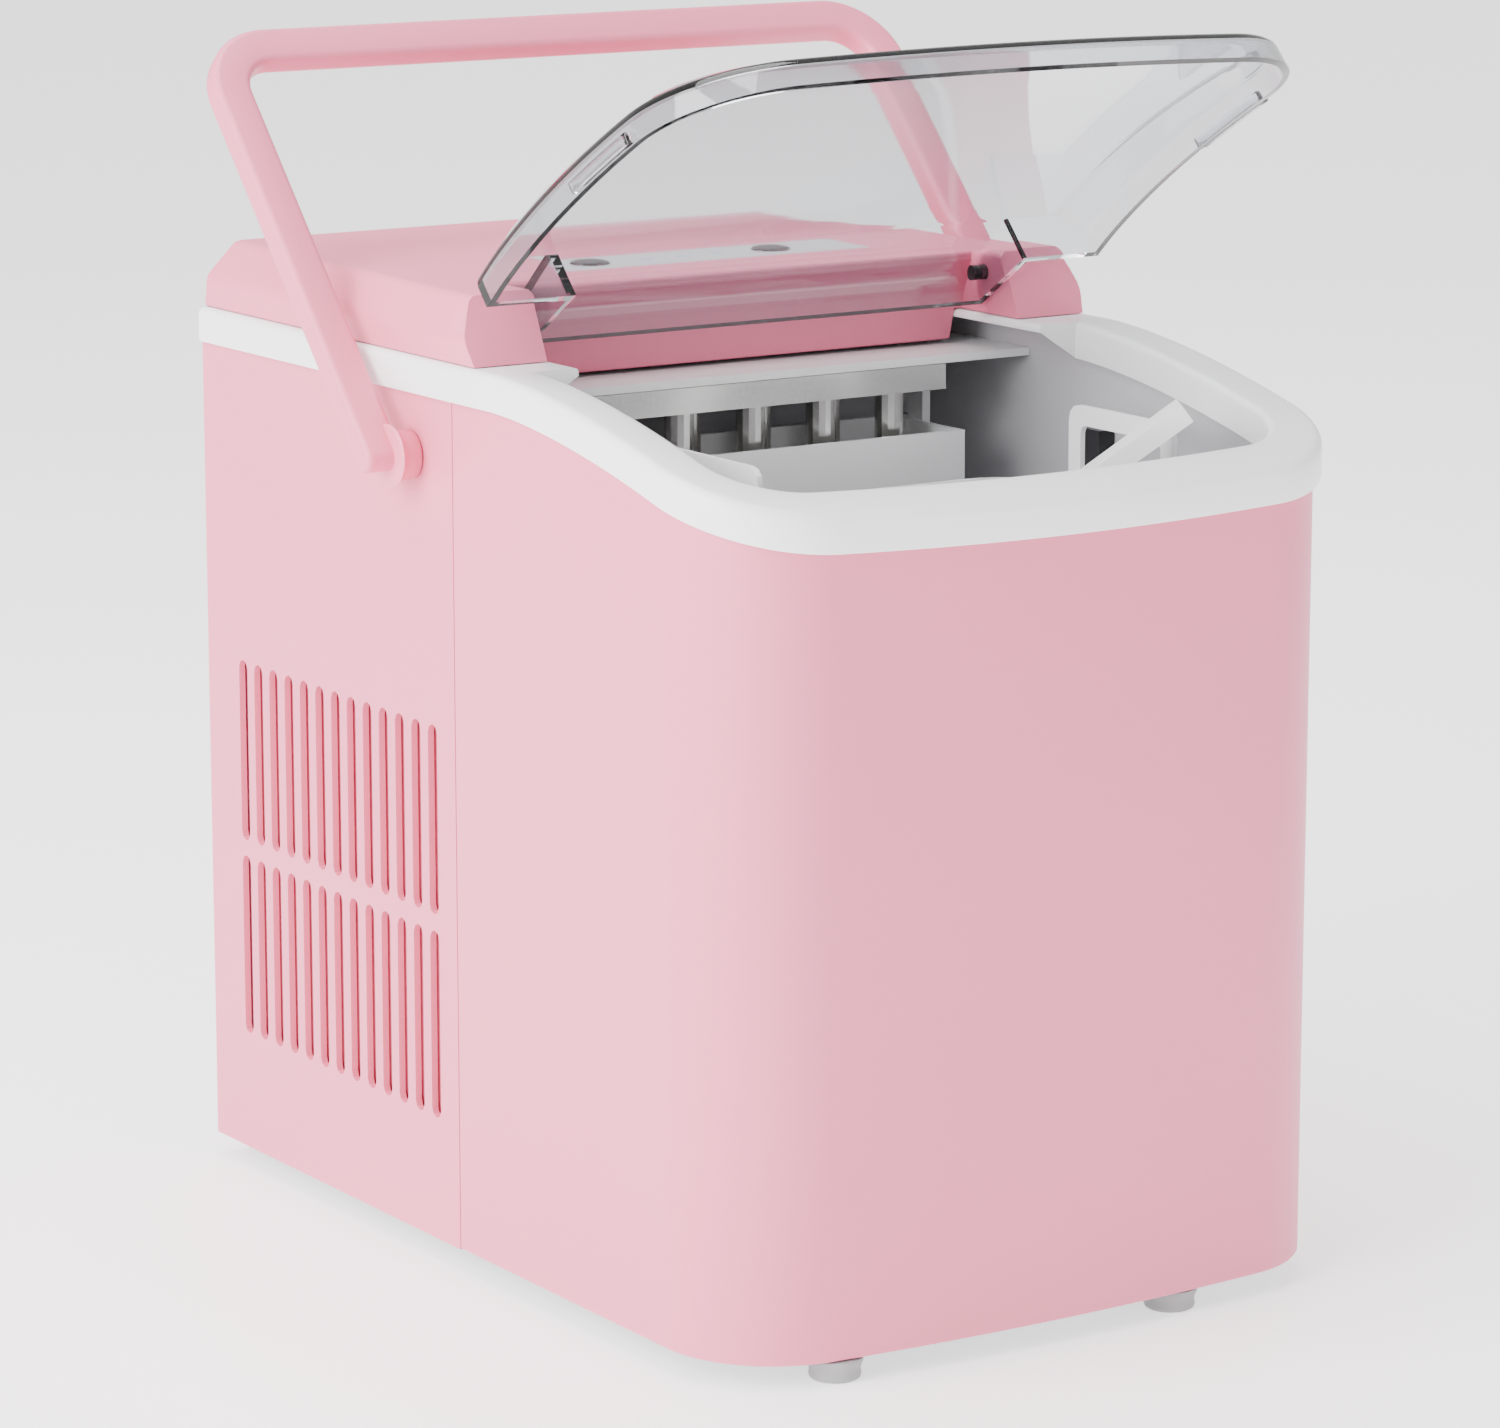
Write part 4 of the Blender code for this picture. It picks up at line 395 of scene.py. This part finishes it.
def rim_section(y):
    """The rim's section as (inset from the case, height below its top), round from the hem outside."""
    out = -OVERHANG
    outside = [(-GAP, -RIM_BAND), (out + 0.7 * MM, -RIM_BAND), (out + 0.15 * MM, -RIM_BAND + 0.25 * MM),
               (out, -RIM_BAND + 0.8 * MM), (out, -2.6 * MM), (out + 0.25 * MM, -1.5 * MM),
               (out + 0.9 * MM, -0.6 * MM), (out + 1.9 * MM, -0.12 * MM), (out + 3.0 * MM, 0.0)]
    if y > RIM_STEP_Y:
        inner = RIM_REAR_INNER
        inside = [(inner - 1.5 * MM, 0.0), (inner - 0.7 * MM, -0.15 * MM), (inner - 0.2 * MM, -0.5 * MM),
                  (inner, -1.2 * MM), (inner, -RIM_PLATE), (inner, -RIM_PLATE), (inner, -RIM_PLATE)]
    else:
        inner = RIM_INNER
        lip = inner - RIM_LIP
        inside = [(inner - 2.4 * MM, 0.0), (inner - 1.1 * MM, -0.25 * MM), (inner - 0.3 * MM, -0.9 * MM),
                  (inner, -2.0 * MM), (inner, -RIM_BAND), (lip, -RIM_BAND), (lip, -RIM_PLATE)]
    return outside + inside + [(-GAP, -RIM_PLATE)]


def rim_line():
    """The case's whole outline as a ring with inward normals, doubled where the mouth steps in."""
    rear = RIM_HIGH.y - OVERHANG
    front = front_line(rear - REAR_CORNER)
    line = []
    for before, after in zip(front, front[1:]):
        line.append(before)
        for edge in (RIM_STEP_Y + 0.01 * MM, RIM_STEP_Y) if before[1] > after[1] else (
                RIM_STEP_Y, RIM_STEP_Y + 0.01 * MM):
            if min(before[1], after[1]) < edge < max(before[1], after[1]):
                line.append((before[0], edge, before[2], 0.0))
    line.append(front[-1])
    side = HALF_WIDTH - REAR_CORNER
    right = arc((side, rear - REAR_CORNER), REAR_CORNER, 0, 90, 8)
    left = arc((-side, rear - REAR_CORNER), REAR_CORNER, 90, 180, 8)
    return line + right[1:] + left[:-1]


def rim_frame():
    """The white frame round the bin mouth. Its section changes along it, so it is lofted row by row."""
    line = rim_line()
    rows = []
    for k in range(len(rim_section(0.0))):
        row = []
        for x, y, nx, ny in line:
            inset, height = rim_section(y)[k]
            if ny < -0.02 and y > 0:
                inset = min(inset, RIM_INNER)
            px, py = x + nx * inset, y + ny * inset
            row.append((px, py, RIM_TOP + height - WAVE_DROP * wave(py)))
        rows.append(row)
    shape = lofted(rows, ring=True, close=True)
    bmesh.ops.remove_doubles(shape, verts=shape.verts, dist=0.001 * MM)
    bmesh.ops.recalc_face_normals(shape, faces=shape.faces)
    piece = new_piece("rim_frame", shape, "top_rim", finish_of("top_rim"), 45)
    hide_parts("top_rim")


# ---- lid --------------------------------------------------------------------------------------
def lid_height(y):
    return LID_TOP - LID_DROP * wave(y)


def opened(shape):
    """Turns a shape modelled on the closed lid about the hinge to where the lid stands."""
    hinge = Vector(JOINTS["lid_hinge"]["pos_m"])
    bmesh.ops.rotate(shape, verts=shape.verts, cent=hinge,
                     matrix=Matrix.Rotation(-math.radians(LID_OPEN), 3, "X"))


def clear_lid():
    """The lid's outer skin: skirt, rounded shoulder, sloping edge, top, and the tongue to the hinge."""
    line = front_line(LID_END_Y)
    foot = RIM_TOP + LID_LIFT
    sections = [(0.0, 0.0, 0.0), (0.0, 0.76, 0.0), (0.03, 0.93, 0.0), (0.1, 1.0, 0.1), (0.28, 1.0, 0.28),
                (0.72, 1.0, 0.76), (0.88, 1.0, 0.91), (1.03, 1.0, 0.985), (1.25, 1.0, 1.0)]
    rows = []
    for inset, skirt, climb in sections:
        row = []
        for x, y, nx, ny in line:
            px, py = x + nx * inset * LID_CHAMFER, y + ny * inset * LID_CHAMFER
            shoulder = foot + LID_SKIRT * skirt - WAVE_DROP * wave(py)
            row.append((px, py, shoulder + (lid_height(py) - shoulder) * climb))
        rows.append(row)
    shape = lofted(rows)
    shape.verts.ensure_lookup_table()
    count = len(line)
    crest = shape.verts[-count:]
    last = count - 1
    ends = [[shape.verts[row * count + column] for row in range(len(sections))] for column in (0, last)]
    for k in range(1, last // 2):
        corners = [crest[k], crest[k + 1], crest[last - k - 1], crest[last - k]]
        if corners[1] is corners[2]:
            corners.pop(2)
        shape.faces.new(corners)
    top = LID_TOP
    back, low, rear, hem = ([shape.verts.new((side * LID_TONGUE, y, z)) for side in (-1, 1)] for y, z in (
        (LID_END_Y, top), (LID_END_Y, foot), (LID_TONGUE_REAR, top), (LID_TONGUE_REAR, top - LID_FLANGE)))
    shape.faces.new((crest[0], crest[1], crest[last - 1], crest[last], back[1], back[0]))
    shape.faces.new((back[0], back[1], rear[1], rear[0]))
    shape.faces.new((rear[0], rear[1], hem[1], hem[0]))
    shape.faces.new((back[0], rear[0], hem[0], low[0]))
    shape.faces.new((back[1], low[1], hem[1], rear[1]))
    shape.faces.new(ends[0] + [back[0], low[0]])
    shape.faces.new(ends[1][::-1] + [low[1], back[1]])
    bmesh.ops.recalc_face_normals(shape, faces=shape.faces)
    largest = max(shape.faces, key=lambda face: face.calc_area())
    if largest.normal.z < 0:
        bmesh.ops.reverse_faces(shape, faces=shape.faces)
    heel = [edge for edge in rear[0].link_edges if edge.other_vert(rear[0]) is rear[1]]
    bmesh.ops.bevel(shape, geom=heel, affect="EDGES", offset=LID_HEEL, segments=16, profile=0.5, material=-1)
    opened(shape)
    piece = new_piece("clear_lid", shape, "lid", finish_of("lid"), 40)
    walled(piece, LID_WALL)
    rounded_edges(piece, 0.8 * MM, 3, 40)
    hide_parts("lid")


def lid_tabs():
    """A short finger rib along the hem of the skirt on each side."""
    for side, name in ((-1, "left"), (1, "right")):
        shape = bmesh.new()
        bmesh.ops.create_cube(shape, size=1.0)
        depth, height = TAB_SIZE
        length = TAB_Y[1] - TAB_Y[0]
        bmesh.ops.scale(shape, vec=(depth, length, height), verts=shape.verts)
        bmesh.ops.subdivide_edges(shape, cuts=6, use_grid_fill=True,
                                  edges=[edge for edge in shape.edges
                                         if abs(edge.verts[0].co.y - edge.verts[1].co.y) > depth])
        bmesh.ops.bevel(shape, geom=[edge for edge in shape.edges if edge.calc_face_angle(0.0) > 1.0],
                        affect="EDGES", offset=0.7 * MM, segments=3, profile=0.5, material=-1)
        middle = (TAB_Y[0] + TAB_Y[1]) / 2
        for vertex in shape.verts:
            y = vertex.co.y + middle
            vertex.co = (side * (HALF_WIDTH + depth / 2 + 0.05 * MM) + vertex.co.x, y,
                         RIM_TOP + LID_LIFT + height * 0.5 - WAVE_DROP * wave(y) + vertex.co.z)
        opened(shape)
        new_piece("lid_tab_" + name, shape, "lid", finish_of("lid"))


# ---- carry handle -----------------------------------------------------------------------------
def bail_handle():
    """The swing-up handle: a rounded flat bar bent to a U, with a flared round hub inside each foot."""
    outer = HANDLE_OUTER
    inner = outer - HANDLE_WIDTH
    centre = (outer - HANDLE_BEND, HANDLE_REACH - HANDLE_BEND)
    right = plain(arc(centre, HANDLE_BEND, 0, 90, 28))
    inside = plain(arc(centre, HANDLE_BEND - HANDLE_WIDTH, 90, 0, 24))
    foot = -HANDLE_FOOT
    line = ([(outer, foot)] + right + [(-x, y) for x, y in reversed(right)] + [(-outer, foot), (-inner, foot)]
            + [(-x, y) for x, y in reversed(inside)] + inside + [(inner, foot)])
    shape = bmesh.new()
    face = shape.faces.new([shape.verts.new((x, y, -HANDLE_THICKNESS / 2)) for x, y in line])
    raised = bmesh.ops.extrude_face_region(shape, geom=[face])["geom"]
    top = [item for item in raised if isinstance(item, bmesh.types.BMVert)]
    bmesh.ops.translate(shape, vec=(0, 0, HANDLE_THICKNESS), verts=top)
    bmesh.ops.recalc_face_normals(shape, faces=shape.faces)
    ends = [edge for edge in shape.edges if all(abs(vertex.co.y - foot) < 1e-6 for vertex in edge.verts)
            and abs(edge.verts[0].co.z - edge.verts[1].co.z) < 1e-6]
    bmesh.ops.bevel(shape, geom=ends, affect="EDGES", offset=HANDLE_THICKNESS * 0.44, segments=8, profile=0.5,
                    material=-1, clamp_overlap=True)
    rims = [edge for edge in shape.edges if edge.calc_face_angle(0.0) > 1.0]
    bmesh.ops.bevel(shape, geom=rims, affect="EDGES", offset=HANDLE_EDGE, segments=5, profile=0.5,
                    material=-1, clamp_overlap=False)
    hub = [(radius * MM, HUB_END - inset * MM) for radius, inset in HUB_FLARE]
    hub += [(radius * MM, HALF_WIDTH + HUB_CLEARANCE + rise * MM) for radius, rise in HUB_ROOT]
    for side in (-1, 1):
        turn(shape, hub, lambda across, up, along: (side * along, across, up))
    bmesh.ops.recalc_face_normals(shape, faces=shape.faces)
    pivot = Vector(JOINTS["handle_swing"]["pos_m"])
    shape.transform(Matrix.Translation(pivot) @ Matrix.Rotation(math.radians(HANDLE_TILT), 4, "X"))
    piece = new_piece("bail_handle", shape, "carry_handle", finish_of("carry_handle"), 50)
    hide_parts("carry_handle")


# ---- feet -------------------------------------------------------------------------------------
def soft_foot(node):
    """A turned soft foot with a shallow waist and a rounded tread."""
    low, high = (Vector(corner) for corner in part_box(node))
    radius = (high.x - low.x) / 2
    height = high.z - low.z
    shape = bmesh.new()
    turn(shape, [(radius * r, height * h) for r, h in TREAD], lambda x, y, z: (x, y, z))
    bmesh.ops.recalc_face_normals(shape, faces=shape.faces)
    bmesh.ops.translate(shape, vec=((low.x + high.x) / 2, (low.y + high.y) / 2, low.z), verts=shape.verts)
    piece = new_piece(node + "_tread", shape, node, finish_of(node), 40)
    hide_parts(node)


# ---- everything else keeps its shape and gets rounded edges or only a finish --------------------
SOFT_EDGES = {
    "left_side_panel": (0.35 * MM, 2), "right_side_panel": (0.35 * MM, 2),
    "back_panel": (0.3 * MM, 2), "base_pan": (0.3 * MM, 2), "control_panel": (0.2 * MM, 2),
    "power_button": (0.25 * MM, 2), "select_button": (0.25 * MM, 2), "ice_basket": (0.5 * MM, 2),
    "ice_scoop": (0.4 * MM, 2), "inner_tub": (0.5 * MM, 2), "reservoir_grid": (0.4 * MM, 2),
    "evaporator_frame": (0.4 * MM, 2), "water_tray": (0.4 * MM, 2), "ice_shovel": (0.3 * MM, 2),
    "drain_plug": (0.3 * MM, 2), "power_inlet": (0.4 * MM, 2),
}


def housing_cover():
    """The top housing with its long outer edges rounded as the moulding has them."""
    shape = bmesh.new()
    shape.from_mesh(NODES["top_housing"].data)
    bmesh.ops.remove_doubles(shape, verts=shape.verts, dist=0.002 * MM)
    bmesh.ops.dissolve_limit(shape, angle_limit=math.radians(1), verts=shape.verts, edges=shape.edges)
    panel_low, panel_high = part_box("control_panel")
    outer = []
    for edge in shape.edges:
        middle = (edge.verts[0].co + edge.verts[1].co) / 2
        in_pocket = all(panel_low[k] - MM < middle[k] < panel_high[k] + MM for k in (0, 1))
        on_front = all(vertex.co.y < CHEEK_FOOT_Y + CHEEK_SLOPE * (vertex.co.z - RIM_TOP) + 0.2 * MM
                       for vertex in edge.verts)
        if (len(edge.link_faces) == 2 and edge.is_convex and edge.calc_length() > 7 * MM
                and edge.calc_face_angle() > math.radians(15) and not on_front and not in_pocket
                and max(vertex.co.z for vertex in edge.verts) > RIM_TOP + 2 * MM):
            outer.append(edge)
    bmesh.ops.bevel(shape, geom=outer, affect="EDGES", offset=HOUSING_EDGE, segments=6, profile=0.5,
                    material=-1, clamp_overlap=False)
    piece = new_piece("housing_cover", shape, "top_housing", finish_of("top_housing"), 30)
    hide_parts("top_housing")


def vent_backings():
    """The inner wall in the case's own colour that closes the view through each field of slots."""
    for side, node in ((-1, "left_side_panel"), (1, "right_side_panel")):
        shape = bmesh.new()
        bmesh.ops.create_cube(shape, size=1.0)
        near, far = (HALF_WIDTH - WALL - depth for depth in VENT_BACKING)
        size = (near - far, VENT_REACH[1] - VENT_REACH[0], VENT_HEIGHTS[1] - VENT_HEIGHTS[0])
        middle = (side * (near + far) / 2, sum(VENT_REACH) / 2, sum(VENT_HEIGHTS) / 2)
        bmesh.ops.scale(shape, vec=size, verts=shape.verts)
        bmesh.ops.bevel(shape, geom=list(shape.edges), affect="EDGES", offset=0.2 * MM, segments=2,
                        profile=0.5, material=-1)
        bmesh.ops.translate(shape, vec=middle, verts=shape.verts)
        new_piece(node.replace("side_panel", "vent_backing"), shape, node, finish_of(node))


def finish_the_rest(made):
    for node, item in NODES.items():
        if node in made:
            continue
        if node in SOFT_EDGES:
            softened(node, finish_of(node), *SOFT_EDGES[node])
            continue
        item.data.materials.clear()
        item.data.materials.append(finish_of(node))


# ---- studio -----------------------------------------------------------------------------------
def floor():
    shape = bmesh.new()
    bmesh.ops.create_grid(shape, x_segments=1, y_segments=1, size=FLOOR_REACH)
    mesh = bpy.data.meshes.new("floor")
    shape.to_mesh(mesh)
    shape.free()
    finish = bpy.data.materials.new("pale_floor")
    finish.use_nodes = True
    shader = finish.node_tree.nodes["Principled BSDF"]
    shader.inputs["Base Color"].default_value = colour("#f6f6f6")
    shader.inputs["Roughness"].default_value = 0.45
    # a little glow lifts the floor to the white of a lit cyclorama
    shader.inputs["Emission Color"].default_value = (1.0, 1.0, 1.0, 1.0)
    shader.inputs["Emission Strength"].default_value = FLOOR_GLOW
    mesh.materials.append(finish)
    item = bpy.data.objects.new("floor", mesh)
    bpy.context.scene.collection.objects.link(item)


def softbox(name, place, size, power):
    light = bpy.data.lights.new(name, "AREA")
    light.shape = "RECTANGLE"
    light.size, light.size_y = size
    light.energy = power
    item = bpy.data.objects.new(name, light)
    item.location = place
    item.rotation_euler = (Vector(MACHINE_MIDDLE) - Vector(place)).to_track_quat("-Z", "Y").to_euler()
    bpy.context.scene.collection.objects.link(item)


def studio():
    world = bpy.data.worlds.new("studio")
    world.use_nodes = True
    world.node_tree.nodes["Background"].inputs["Color"].default_value = (1.0, 1.0, 1.0, 1.0)
    world.node_tree.nodes["Background"].inputs["Strength"].default_value = 1.0
    bpy.context.scene.world = world
    for name, (place, size, power) in SOFTBOXES.items():
        softbox(name, place, size, power)


def camera():
    view = bpy.data.cameras.new("camera")
    view.lens = CAMERA_LENS
    view.sensor_width = 36.0
    view.clip_end = 50.0
    item = bpy.data.objects.new("camera", view)
    item.location = CAMERA_PLACE
    item.rotation_euler = (math.radians(90 + CAMERA_PITCH), 0.0, math.radians(CAMERA_HEADING))
    bpy.context.scene.collection.objects.link(item)
    bpy.context.scene.camera = item


front_wrap()
rim_frame()
clear_lid()
lid_tabs()
bail_handle()
FEET = ("foot_front_left", "foot_front_right", "foot_rear_left", "foot_rear_right")
for foot in FEET:
    soft_foot(foot)
housing_cover()
vent_backings()
finish_the_rest({"front_shell", "top_rim", "top_housing", "lid", "carry_handle", *FEET})
floor()
studio()
camera()
